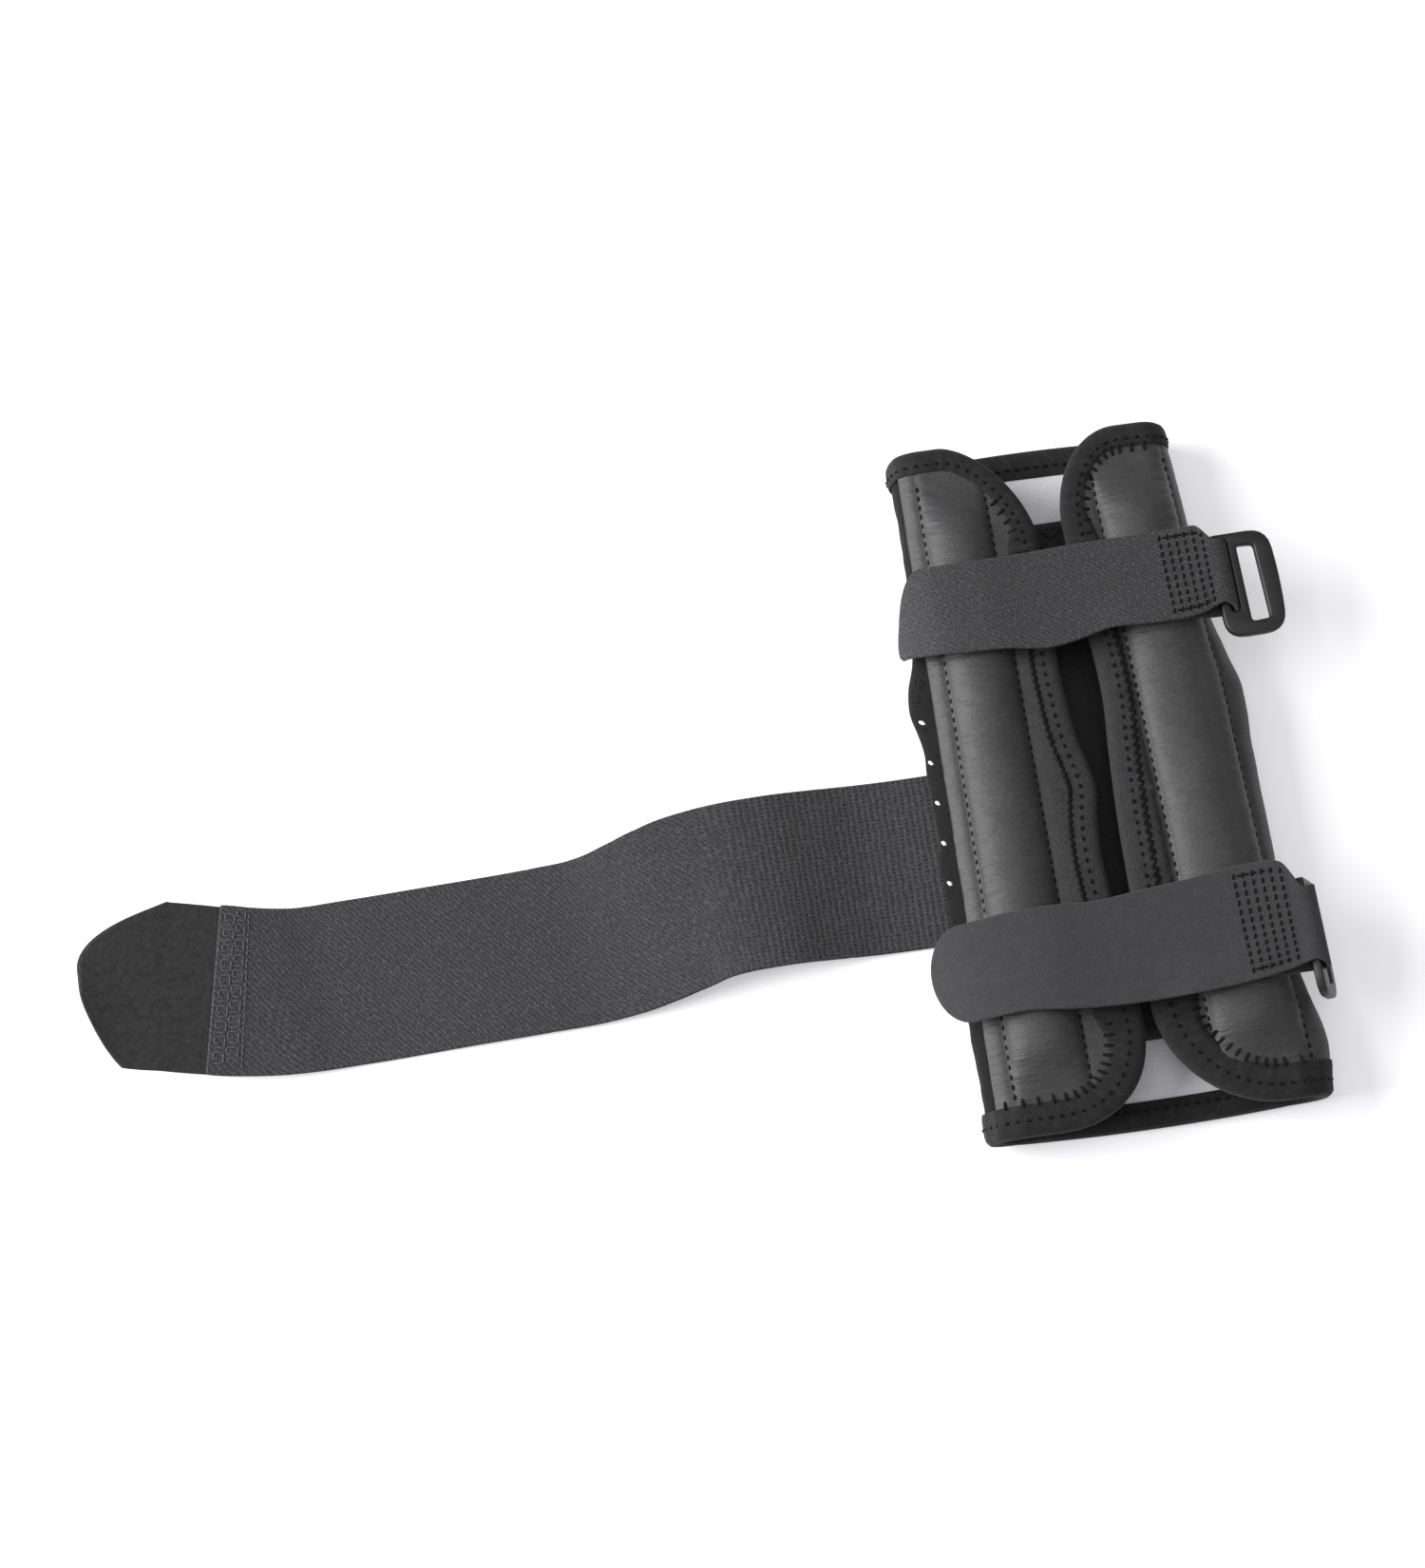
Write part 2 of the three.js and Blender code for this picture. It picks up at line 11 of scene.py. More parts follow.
import bmesh
import bpy
import numpy as np
from mathutils import Vector
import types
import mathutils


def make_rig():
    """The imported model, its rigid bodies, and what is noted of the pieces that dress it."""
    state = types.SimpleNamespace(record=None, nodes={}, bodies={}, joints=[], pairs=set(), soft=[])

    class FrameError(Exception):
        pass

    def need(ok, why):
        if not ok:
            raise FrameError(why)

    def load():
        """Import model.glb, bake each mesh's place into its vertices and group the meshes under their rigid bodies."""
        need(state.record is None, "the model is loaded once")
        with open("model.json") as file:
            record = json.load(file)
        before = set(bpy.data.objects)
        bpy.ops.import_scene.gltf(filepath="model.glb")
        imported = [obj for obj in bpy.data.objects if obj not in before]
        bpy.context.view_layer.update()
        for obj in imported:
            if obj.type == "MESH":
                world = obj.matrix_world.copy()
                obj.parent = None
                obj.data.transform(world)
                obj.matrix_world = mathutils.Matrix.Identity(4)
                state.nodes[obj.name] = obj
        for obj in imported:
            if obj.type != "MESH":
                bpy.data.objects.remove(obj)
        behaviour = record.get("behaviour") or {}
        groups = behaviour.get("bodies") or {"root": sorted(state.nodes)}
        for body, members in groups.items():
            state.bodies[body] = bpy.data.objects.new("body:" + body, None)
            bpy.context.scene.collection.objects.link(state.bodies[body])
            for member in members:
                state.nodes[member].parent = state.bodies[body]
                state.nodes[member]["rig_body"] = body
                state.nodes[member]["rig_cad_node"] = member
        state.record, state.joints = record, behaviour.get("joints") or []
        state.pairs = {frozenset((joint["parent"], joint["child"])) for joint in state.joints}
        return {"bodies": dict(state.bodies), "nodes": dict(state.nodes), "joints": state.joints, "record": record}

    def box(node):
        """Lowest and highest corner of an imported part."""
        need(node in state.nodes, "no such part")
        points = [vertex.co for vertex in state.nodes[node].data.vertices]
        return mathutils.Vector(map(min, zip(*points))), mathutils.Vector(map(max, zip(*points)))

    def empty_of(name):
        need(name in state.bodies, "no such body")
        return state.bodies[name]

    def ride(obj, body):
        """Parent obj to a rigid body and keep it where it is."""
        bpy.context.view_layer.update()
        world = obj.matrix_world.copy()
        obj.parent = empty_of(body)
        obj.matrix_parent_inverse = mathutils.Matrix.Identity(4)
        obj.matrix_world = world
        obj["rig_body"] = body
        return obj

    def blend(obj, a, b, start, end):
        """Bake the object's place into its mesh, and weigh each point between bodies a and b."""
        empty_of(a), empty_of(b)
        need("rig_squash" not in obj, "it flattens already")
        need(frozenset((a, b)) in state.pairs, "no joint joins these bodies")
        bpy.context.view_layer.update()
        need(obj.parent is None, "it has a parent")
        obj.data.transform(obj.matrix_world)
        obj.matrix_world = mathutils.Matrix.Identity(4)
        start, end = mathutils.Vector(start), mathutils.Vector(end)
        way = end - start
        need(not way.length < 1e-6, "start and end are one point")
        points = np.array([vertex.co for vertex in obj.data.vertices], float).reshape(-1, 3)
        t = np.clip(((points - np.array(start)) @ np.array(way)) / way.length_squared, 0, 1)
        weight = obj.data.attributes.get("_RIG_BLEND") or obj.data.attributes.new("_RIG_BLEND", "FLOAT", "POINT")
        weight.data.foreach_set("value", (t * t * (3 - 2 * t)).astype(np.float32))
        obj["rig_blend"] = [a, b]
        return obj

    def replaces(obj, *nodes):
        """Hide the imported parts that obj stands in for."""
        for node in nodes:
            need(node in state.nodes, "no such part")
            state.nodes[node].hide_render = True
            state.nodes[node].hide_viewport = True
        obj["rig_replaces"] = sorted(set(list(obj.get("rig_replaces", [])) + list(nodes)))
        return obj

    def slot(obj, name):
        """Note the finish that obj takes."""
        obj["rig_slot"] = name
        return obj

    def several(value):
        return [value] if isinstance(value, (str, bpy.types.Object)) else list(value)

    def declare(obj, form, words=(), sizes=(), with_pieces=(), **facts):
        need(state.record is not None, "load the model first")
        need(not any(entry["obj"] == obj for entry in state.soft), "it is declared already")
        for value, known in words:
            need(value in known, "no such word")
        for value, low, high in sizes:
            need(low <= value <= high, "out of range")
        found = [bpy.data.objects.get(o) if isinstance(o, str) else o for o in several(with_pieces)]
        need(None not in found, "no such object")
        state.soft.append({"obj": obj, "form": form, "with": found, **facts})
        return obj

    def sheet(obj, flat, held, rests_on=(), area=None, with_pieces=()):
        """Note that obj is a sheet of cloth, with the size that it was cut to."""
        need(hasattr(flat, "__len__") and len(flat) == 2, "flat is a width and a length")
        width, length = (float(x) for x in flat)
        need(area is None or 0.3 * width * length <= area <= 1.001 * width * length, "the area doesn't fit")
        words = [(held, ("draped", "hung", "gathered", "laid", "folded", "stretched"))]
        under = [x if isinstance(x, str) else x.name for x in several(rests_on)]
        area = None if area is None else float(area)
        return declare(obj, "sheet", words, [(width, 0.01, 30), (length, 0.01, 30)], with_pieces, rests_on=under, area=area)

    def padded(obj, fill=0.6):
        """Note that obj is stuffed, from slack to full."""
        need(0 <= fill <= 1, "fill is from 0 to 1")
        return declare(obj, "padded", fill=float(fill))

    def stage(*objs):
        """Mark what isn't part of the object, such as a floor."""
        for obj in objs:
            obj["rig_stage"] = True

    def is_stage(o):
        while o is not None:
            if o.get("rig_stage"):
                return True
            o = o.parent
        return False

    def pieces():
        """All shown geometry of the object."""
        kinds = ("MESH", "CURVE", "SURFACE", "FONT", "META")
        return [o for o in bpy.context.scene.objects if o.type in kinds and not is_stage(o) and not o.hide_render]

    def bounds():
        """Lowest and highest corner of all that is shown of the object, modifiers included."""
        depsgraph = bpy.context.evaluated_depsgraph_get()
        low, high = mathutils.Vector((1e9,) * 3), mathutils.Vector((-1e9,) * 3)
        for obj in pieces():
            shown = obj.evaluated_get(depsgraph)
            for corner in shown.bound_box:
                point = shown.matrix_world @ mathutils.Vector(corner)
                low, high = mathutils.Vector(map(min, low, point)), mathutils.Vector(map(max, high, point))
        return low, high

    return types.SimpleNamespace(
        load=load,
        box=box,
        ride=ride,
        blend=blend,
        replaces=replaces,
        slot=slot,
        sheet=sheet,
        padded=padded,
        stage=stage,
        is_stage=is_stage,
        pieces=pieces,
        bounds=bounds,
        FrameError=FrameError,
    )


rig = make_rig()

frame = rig.load()
cad_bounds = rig.bounds()

MM = 0.001
SIDES = {"left": -1, "right": 1}


def node_box(name):
    low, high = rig.box(name)
    return np.array(low) / MM, np.array(high) / MM


def joint_place(name):
    return np.array(next(j["pos_m"] for j in frame["joints"] if j["name"] == name)) / MM


# ---- Sizes that the frame gives ----
HALF_WIDTH, _, SIDE_RADIUS = joint_place("right_wing_open")
SIDE_X = HALF_WIDTH - SIDE_RADIUS  # middle of the rolled sides
END = node_box("back_shell")[1][1]  # half the length of the tube
WALL = node_box("back_shell")[1][2]
TAPER = node_box("right_wing_wall")[1][0] / HALF_WIDTH - 1
LINING_LOW, LINING_HIGH = (corner[2] for corner in node_box("back_lining"))
U_END = SIDE_X + math.pi * SIDE_RADIUS  # round the outside, from the middle line to the back

# ---- How the cloth lies ----
GAP = 0.3
COVER = 1.2  # leather
COVER_TOP = GAP + COVER
PRESSED_HEIGHT = 2.0  # what is lower than this at the tube's ends is squeezed by the floor
TAPE_BULK = 1.35  # which makes room for the tape below the cloth
END_DRIFT = 3.2  # both ends have slid this far towards the hand, against the middle
SKEW = 0.02  # and the left side a little further than the right
POCKET_RISE = 4.7
POCKET_ROUND = 0.75
POCKET_FULL = 74
POCKET_END = 92
POCKETS = {-1: (26.9, 10.1), 1: (28.9, 11.8)}  # middle and half width of a splint pocket
COVER_EDGE = {-1: SIDE_X + 7, 1: SIDE_X + 11}  # where the leather stops, round the side
END_BINDING = {(-1, 1): 5.6, (-1, -1): 8.4, (1, 1): 5.8, (1, -1): 9.6}  # tape round each wing's ends
BAND_EDGE = {-1: 13.2, 1: 15.6}  # inner edge of the stitched band beside the free edge, from the middle line
CORNERS = {  # (across, along, roundness) of each wing's corners: 2 is an ellipse, and less is flatter
    (-1, 1): (25, 28, 1.65),
    (-1, -1): (25, 28, 2.2),
    (1, 1): (21, 26, 2.0),
    (1, -1): (29, 32, 1.9),
}


def smooth(x):
    x = np.clip(x, 0, 1)
    return x * x * (3 - 2 * x)


def unit(vectors):
    return vectors / np.linalg.norm(vectors, axis=1, keepdims=True)


def distance_along(line):
    """How far each point of a line lies from its first one, along it."""
    return np.concatenate([[0], np.cumsum(np.linalg.norm(np.diff(line, axis=0), axis=1))])


def flat_cut(u, y):
    """Places on the flat cut, for the cloth attribute."""
    return np.stack(np.broadcast_arrays(u, y, 0 * u), axis=-1)


def through(*points):
    """A smooth curve through (place, value) points in rising order, level beyond its ends."""
    at, value = np.array(points, float).T
    slope = np.gradient(value, at)
    slope[[0, -1]] = 0

    def curve(x):
        x = np.clip(x, at[0], at[-1])
        i = np.clip(np.searchsorted(at, x, side="right") - 1, 0, len(at) - 2)
        step = at[i + 1] - at[i]
        t = (x - at[i]) / step
        start = (1 + 2 * t) * (1 - t) ** 2 * value[i] + t * (1 - t) ** 2 * step * slope[i]
        return start + t * t * (3 - 2 * t) * value[i + 1] + t * t * (t - 1) * step * slope[i + 1]

    return curve


def ripple(a, b, pitch, seed, waves=11):
    """Uneven bumps from about -1 to 1 over two coordinates, a pitch apart."""
    random = np.random.default_rng(seed)
    total = 0
    for _ in range(waves):
        turn, phase = random.uniform(0, 2 * math.pi, 2)
        rate = 2 * math.pi / (pitch * random.uniform(0.7, 1.6))
        total = total + np.sin(rate * (a * math.cos(turn) + b * math.sin(turn)) + phase)
    return total * 1.6 / waves


# How far each rolled side stands out past a round one, along the tube.
SIDE_BULGE = {
    -1: through((-98, 0.0), (-60, 0.8), (-30, 1.4), (0, 1.3), (18, 2.0), (33, 3.9), (44, 1.0), (66, -0.9),
                (98, -0.6)),
    1: through((-99, 1.0), (-84, 3.8), (-74, 2.2), (-66, 0.6), (-40, 0.4), (-26, 1.4), (4, 3.0), (24, 4.2),
               (32, 2.4), (40, 0.3), (72, -0.5), (99, -1.0)),
}
# Distance of each wing's free edge from the middle line.
FREE_EDGE = {
    -1: through((-75, 1.2), (-36, 3.0), (-20, 3.5), (-9, 2.4), (-3, 1.4), (3, 2.0), (12, 3.9), (23, 4.9),
                (72, 4.0)),
    1: through((-68, 4.0), (-35, 4.6), (-14, 5.2), (9, 6.8), (21, 8.0), (50, 7.2), (74, 6.6)),
}


def settle(x, y, z):
    """Points of the straight tube where they lie: it tapers towards the hand, and its ends have slid."""
    x, y, z = np.broadcast_arrays(x, y, z)
    return np.stack([x * (1 - TAPER * y / END), y + END_DRIFT * (y / END) ** 2 - SKEW * x, z], axis=-1)


def tube(side, u, y, lift):
    """The point u round the outside of a half tube from its middle line, and lift out from its surface."""
    turn = np.clip((u - SIDE_X) / SIDE_RADIUS, 0, math.pi)
    share = np.sin(turn) ** 2 if side > 0 else smooth((turn - 0.7) / 0.9) * smooth((math.pi - turn) / 0.9)
    radius = SIDE_RADIUS + lift + SIDE_BULGE[side](y) * share
    x = np.minimum(u, SIDE_X) + radius * np.sin(turn)
    z = SIDE_RADIUS + radius * np.cos(turn)
    at_end = smooth((np.abs(y) - END + 14) / 6)
    give = 1 - PRESSED_HEIGHT / (PRESSED_HEIGHT + TAPE_BULK)
    z = z + at_end * give * np.maximum(PRESSED_HEIGHT - z, 0)
    return settle(side * x, y, np.maximum(z, 0))


def free_edge(side, y):
    """The free edge with its rounded corners."""
    corner = np.zeros_like(y)
    for end in (-1, 1):
        across, along, power = CORNERS[side, end]
        past = np.clip((end * y - END + along) / along, 0, 1)
        corner = corner + across * (1 - (1 - past**power) ** (1 / power))
    return FREE_EDGE[side](y) + corner


def pocket(side, u, y):
    """How far the leather rises over the splint, and dips at the seams beside it."""
    middle, half = POCKETS[side]
    across = (u - middle) / half
    fade = 1 - smooth((np.abs(y) - POCKET_FULL) / (POCKET_END - POCKET_FULL))
    rise = POCKET_RISE * fade * np.clip(1 - across**2, 0, 1) ** POCKET_ROUND
    seams = sum(np.exp(-(((u - middle + s * half) / 1.1) ** 2)) for s in (-1, 1))
    return rise - 0.3 * seams


def creases(side, u, y):
    """Fine wrinkles across the tube, deepest down the pocket's inner flank and by its outer seam."""
    middle, half = POCKETS[side]
    away = (u - middle) / half
    deep = 0.25 + np.exp(-(((np.abs(away) - 0.78) / 0.28) ** 2))
    fine = ripple(u * 0.25, y, 2.6, 5 + side)
    broad = ripple(u * 0.5, y, 11, 9 + side)
    return 0.14 * deep * fine + 0.18 * broad


def leather_top(side, u, y):
    return COVER_TOP + pocket(side, u, y) + creases(side, u, y)


# ---- Meshes ----
def placed(name, data):
    """A new object in the scene."""
    made = bpy.data.objects.new(name, data)
    bpy.context.scene.collection.objects.link(made)
    return made


def finished(name, mesh, crease, merge=0):
    """The mesh as a piece, its faces pointing out and shaded smooth up to the crease angle."""
    work = bmesh.new()
    work.from_mesh(mesh)
    if merge:
        bmesh.ops.remove_doubles(work, verts=work.verts, dist=merge)
    bmesh.ops.recalc_face_normals(work, faces=work.faces)
    work.to_mesh(mesh)
    work.free()
    mesh.polygons.foreach_set("use_smooth", [True] * len(mesh.polygons))
    mesh.set_sharp_from_angle(angle=math.radians(crease))
    return placed(name, mesh)


def mesh_piece(name, points, faces, cloth, materials, face_materials=None, crease=62):
    mesh = bpy.data.meshes.new(name)
    mesh.from_pydata((np.asarray(points) * MM).tolist(), [], faces)
    flat = mesh.attributes.new("cloth", "FLOAT_VECTOR", "POINT")
    flat.data.foreach_set("vector", np.asarray(cloth, np.float32).ravel())
    for material in materials:
        mesh.materials.append(material)
    if face_materials is not None:
        mesh.polygons.foreach_set("material_index", face_materials)
    return finished(name, mesh, crease)


def grid_faces(rows, columns, first=0):
    r, c = np.meshgrid(np.arange(rows - 1), np.arange(columns - 1), indexing="ij")
    a = (first + r * columns + c).ravel()
    return np.stack([a, a + 1, a + columns + 1, a + columns], axis=1).tolist()


def rim_of(rows, columns):
    """The numbers of a grid's outside points, in order round it."""
    top = list(range(columns))
    right = [r * columns + columns - 1 for r in range(1, rows)]
    bottom = [(rows - 1) * columns + c for c in range(columns - 2, -1, -1)]
    left = [r * columns for r in range(rows - 2, 0, -1)]
    return top + right + bottom + left


def closed_sheet(name, outer, inner, cloth, materials, inner_material=0, crease=62):
    """A closed mesh from the two faces of a sheet, as grids of points, with a rounded rim."""
    rows, columns, _ = outer.shape
    count = rows * columns
    rim = np.array(rim_of(rows, columns))
    both = outer.reshape(-1, 3), inner.reshape(-1, 3)
    middle = (both[0][rim] + both[1][rim]) / 2
    along = np.roll(middle, -1, axis=0) - np.roll(middle, 1, axis=0)
    out = np.cross(along, both[0][rim] - both[1][rim])
    out /= np.maximum(np.linalg.norm(out, axis=1, keepdims=True), 1e-9)
    inside = outer[rows // 2, columns // 2]
    if ((middle - inside) * out).sum() < 0:
        out = -out
    thick = np.linalg.norm(both[0][rim] - both[1][rim], axis=1, keepdims=True)
    points = np.concatenate([*both, middle + 0.3 * thick * out])
    flat = cloth.reshape(-1, 3)
    edge = 2 * count + np.arange(len(rim))
    after, edge_after = np.roll(rim, -1), np.roll(edge, -1)
    strips = [
        np.stack([rim, after, edge_after, edge], axis=1),
        np.stack([edge, edge_after, after + count, rim + count], axis=1),
    ]
    inner_faces = [face[::-1] for face in grid_faces(rows, columns, count)]
    faces = grid_faces(rows, columns) + inner_faces + strips[0].tolist() + strips[1].tolist()
    looks = [0] * len(inner_faces) + [inner_material] * len(inner_faces) + [0] * (2 * len(rim))
    return mesh_piece(name, points, faces, np.concatenate([flat, flat, flat[rim]]), materials, looks, crease)


def loop_sweep(name, sections, cloth, materials):
    """A closed mesh through sections, each a closed loop with as many points as the others."""
    count, around, _ = sections.shape
    i, j = np.meshgrid(np.arange(count - 1), np.arange(around), indexing="ij")
    a, b = (i * around + j).ravel(), (i * around + (j + 1) % around).ravel()
    faces = np.stack([a, b, b + around, a + around], axis=1).tolist()
    faces += [list(range(around))[::-1], list(range((count - 1) * around, count * around))]
    return mesh_piece(name, sections.reshape(-1, 3), faces, cloth.reshape(-1, 3), materials)


GRAIN_RINGS = ((0.0, 0.35), (0.18, 0.9), (0.5, 1.0), (0.82, 0.9), (1.0, 0.35))  # (along, thickness)
GRAIN_SIDES = 6


def stitches(name, segments, thickness, material):
    """Short lengths of thread, each a grain from one point to another, half sunk in the cloth."""
    ends = np.array([[a, b] for a, b in segments], float)
    along = ends[:, 1] - ends[:, 0]
    side = unit(np.cross(along, (0, 0, 1.0)) + (1e-6, 0, 0))
    up = np.cross(side, unit(along))
    turns = np.arange(GRAIN_SIDES) * 2 * math.pi / GRAIN_SIDES
    rings = []
    for share, width in GRAIN_RINGS:
        middle = ends[:, 0] + share * along
        spoke = np.cos(turns)[:, None, None] * side + np.sin(turns)[:, None, None] * up
        rings.append(middle + spoke * width * thickness / 2)
    points = np.stack(rings).transpose(2, 0, 1, 3)
    each = len(GRAIN_RINGS) * GRAIN_SIDES
    faces = []
    for ring in range(len(GRAIN_RINGS) - 1):
        for k in range(GRAIN_SIDES):
            a, b = ring * GRAIN_SIDES + k, ring * GRAIN_SIDES + (k + 1) % GRAIN_SIDES
            faces.append((a, b, b + GRAIN_SIDES, a + GRAIN_SIDES))
    caps = [tuple(range(GRAIN_SIDES))[::-1], tuple(range(each - GRAIN_SIDES, each))]
    every = [tuple(v + g * each for v in face) for g in range(len(ends)) for face in faces + caps]
    lengths = np.linalg.norm(along, axis=1)
    cloth = np.zeros((len(ends), len(GRAIN_RINGS), GRAIN_SIDES, 3))
    cloth[..., 0] = np.array([share for share, _ in GRAIN_RINGS])[:, None] * lengths[:, None, None]
    cloth[..., 1] = np.arange(GRAIN_SIDES) * thickness / 2
    return mesh_piece(name, points.reshape(-1, 3), every, cloth.reshape(-1, 3), [material])


def dashes(line, length, pitch):
    """Pieces of that length out of a line of points, a pitch apart."""
    at = distance_along(line)
    starts = np.arange(pitch - length, at[-1] - length, pitch)
    place = lambda s: np.stack([np.interp(s, at, line[:, k]) for k in range(3)], axis=1)
    return list(zip(place(starts), place(starts + length)))


# ---- Materials ----
class Look:
    """A procedural material, whose pattern is laid out in millimetres on the flat cut."""

    def __init__(self, name):
        self.material = bpy.data.materials.new(name)
        self.material.use_nodes = True
        self.tree = self.material.node_tree
        self.shader = self.tree.nodes["Principled BSDF"]
        self.cloth = self.node("ShaderNodeAttribute", attribute_name="cloth").outputs["Vector"]

    def node(self, kind, inputs=None, **settings):
        made = self.tree.nodes.new(kind)
        for key, value in settings.items():
            setattr(made, key, value)
        for key, value in (inputs or {}).items():
            if isinstance(value, bpy.types.NodeSocket):
                self.tree.links.new(value, made.inputs[key])
            else:
                made.inputs[key].default_value = value
        return made

    def laid(self, scale=(1, 1, 1), turn=0, vector=None):
        """The flat cut's coordinates, turned in their plane and then scaled."""
        turned = self.node(
            "ShaderNodeVectorRotate",
            {"Vector": vector or self.cloth, "Angle": math.radians(turn)},
            rotation_type="Z_AXIS",
        )
        scaled = self.node("ShaderNodeVectorMath", {0: turned.outputs[0], 1: scale}, operation="MULTIPLY")
        return scaled.outputs[0]

    def noise(self, vector, scale, detail=3, rough=0.55):
        inputs = {"Vector": vector, "Scale": scale, "Detail": detail, "Roughness": rough}
        return self.node("ShaderNodeTexNoise", inputs).outputs["Fac"]

    def cells(self, vector, scale):
        return self.node("ShaderNodeTexVoronoi", {"Vector": vector, "Scale": scale}).outputs["Distance"]

    def own_place(self):
        """The piece's own coordinates in millimetres, for a moulded or cut piece that has no flat cut."""
        inputs = {0: self.node("ShaderNodeTexCoord").outputs["Object"], 1: (1 / MM,) * 3}
        return self.node("ShaderNodeVectorMath", inputs, operation="MULTIPLY").outputs[0]

    def ribs(self, pitch, turn, wander=0.5):
        """Parallel ribs a pitch apart, that lie at that angle to the cloth's first direction."""
        scale = 2 * math.pi / (20 * pitch)
        inputs = {"Vector": self.laid(turn=turn), "Scale": scale, "Distortion": wander, "Detail Scale": 2.0}
        return self.node("ShaderNodeTexWave", inputs).outputs["Fac"]

    def math(self, operation, a, b=0.5):
        return self.node("ShaderNodeMath", {0: a, 1: b}, operation=operation).outputs[0]

    def ramp(self, value, *stops):
        """value mapped through (place, grey or colour) stops."""
        made = self.node("ShaderNodeValToRGB", {"Fac": value})
        bar = made.color_ramp.elements
        while len(bar) < len(stops):
            bar.new(0.5)
        for element, (place, colour) in zip(bar, stops):
            element.position = place
            element.color = (*grey(colour), 1)
        return made.outputs["Color"]

    def mix(self, share, a, b):
        return self.node("ShaderNodeMix", {0: share, 6: rgba(a), 7: rgba(b)}, data_type="RGBA").outputs[2]

    def bump(self, *layers):
        """Layers of (height, depth in millimetres, strength), one on top of the other."""
        normal = None
        for height, depth, strength in layers:
            inputs = {"Height": height, "Distance": depth * MM, "Strength": strength}
            if normal:
                inputs["Normal"] = normal
            normal = self.node("ShaderNodeBump", inputs).outputs["Normal"]
        self.tree.links.new(normal, self.shader.inputs["Normal"])

    def finish(self, colour, roughness, sheen=0.0, specular=0.5, metallic=0.0):
        for key, value in (("Base Color", colour), ("Roughness", roughness)):
            if isinstance(value, bpy.types.NodeSocket):
                self.tree.links.new(value, self.shader.inputs[key])
            else:
                self.shader.inputs[key].default_value = rgba(value) if key == "Base Color" else value
        self.shader.inputs["Sheen Weight"].default_value = sheen
        self.shader.inputs["Sheen Roughness"].default_value = 0.45
        self.shader.inputs["Specular IOR Level"].default_value = specular
        self.shader.inputs["Metallic"].default_value = metallic
        return self.material


def grey(colour):
    return (colour, colour, colour * 1.05) if isinstance(colour, (int, float)) else tuple(colour)


def rgba(value):
    return value if isinstance(value, bpy.types.NodeSocket) else (*grey(value), 1)


def leather_look():
    """Dark grey leather with a fine pebbled grain, drawn into small wrinkles across the tube, with painted shade in
    the wrinkles' hollows.
    """
    look = Look("leather")
    wrinkles = look.noise(look.laid((0.32, 1.25, 1)), 0.62, 3, 0.5)
    grain = look.cells(look.laid((0.8, 1.3, 1)), 0.95)
    pores = look.noise(look.cloth, 2.2, 2)
    cloudy = look.noise(look.cloth, 0.06, 3)
    tone = look.ramp(cloudy, (0.3, 0.036), (0.72, 0.047))
    # Painted shade: the low places of the wrinkles are darkened in the colour, as if shade lay in the creases.
    tone = look.mix(look.ramp(wrinkles, (0.34, 0.45), (0.52, 0.0)), tone, 0.028)
    tone = look.mix(look.ramp(grain, (0.4, 0.0), (0.8, 0.25)), tone, 0.026)
    rough = look.ramp(pores, (0.3, 0.48), (0.7, 0.58))
    look.bump((wrinkles, 0.5, 0.6), (grain, 0.14, 0.4), (pores, 0.04, 0.3))
    return look.finish(tone, rough, sheen=0.04, specular=0.42)


def felt_look(name, dark, light, specks=0.0):
    """Brushed loop fabric: a short felted pile with lighter fibres caught in it."""
    look = Look(name)
    pile = look.noise(look.cloth, 1.5, 5, 0.7)
    clumps = look.noise(look.cloth, 0.35, 3)
    fibre = look.noise(look.laid((3.2, 0.8, 1), turn=35), 0.9, 3, 0.75)
    tone = look.ramp(pile, (0.32, dark), (0.68, light))
    tone = look.mix(look.ramp(clumps, (0.35, 0.35), (0.65, 0.0)), tone, dark * 0.8)
    tone = look.mix(look.ramp(fibre, (0.66, 0.0), (0.78, specks)), tone, light * 2.3)
    look.bump((clumps, 0.3, 0.35), (pile, 0.4, 0.7), (fibre, 0.2, 0.5))
    return look.finish(tone, 0.95, sheen=0.08, specular=0.12)


def twill_look(name, dark, light, pitch=1.05, turn=52, grid=0.0):
    """Woven strap with slanting ribs, and where grid is above 0 a knitted grid of short loops instead."""
    look = Look(name)
    ribs = look.ribs(pitch, turn, 4.0)
    crossing = look.ribs(pitch * 0.62, turn - 90, 4.0)
    loops = look.math("MULTIPLY", look.ribs(1.9, 0, 2.4), look.ribs(1.15, 90, 3.0))
    here = look.node("ShaderNodeSeparateXYZ", {0: look.cloth}).outputs["Z"]
    weave = look.math("ADD", look.math("MULTIPLY", ribs, 0.55), look.math("MULTIPLY", crossing, 0.45))
    knit = look.math("SUBTRACT", 1.0, loops)
    patchy = look.noise(look.cloth, 0.16, 3)
    knitted = look.math("MULTIPLY", here, grid)
    height = look.mix(knitted, weave, knit)
    fibre = look.noise(look.laid((1.5, 0.9, 1), turn=turn), 0.85, 4, 0.75)
    tone = look.ramp(height, (0.15, dark), (0.85, light))
    tone = look.mix(look.ramp(patchy, (0.3, 0.3), (0.7, 0.0)), tone, dark)
    tone = look.mix(look.ramp(fibre, (0.52, 0.0), (0.68, 0.6)), tone, light * 2.0)
    tone = look.mix(look.ramp(fibre, (0.3, 0.6), (0.45, 0.0)), tone, dark * 0.6)
    look.bump((height, 0.4, 0.55), (fibre, 0.4, 0.6))
    return look.finish(tone, 0.92, sheen=0.06, specular=0.15)


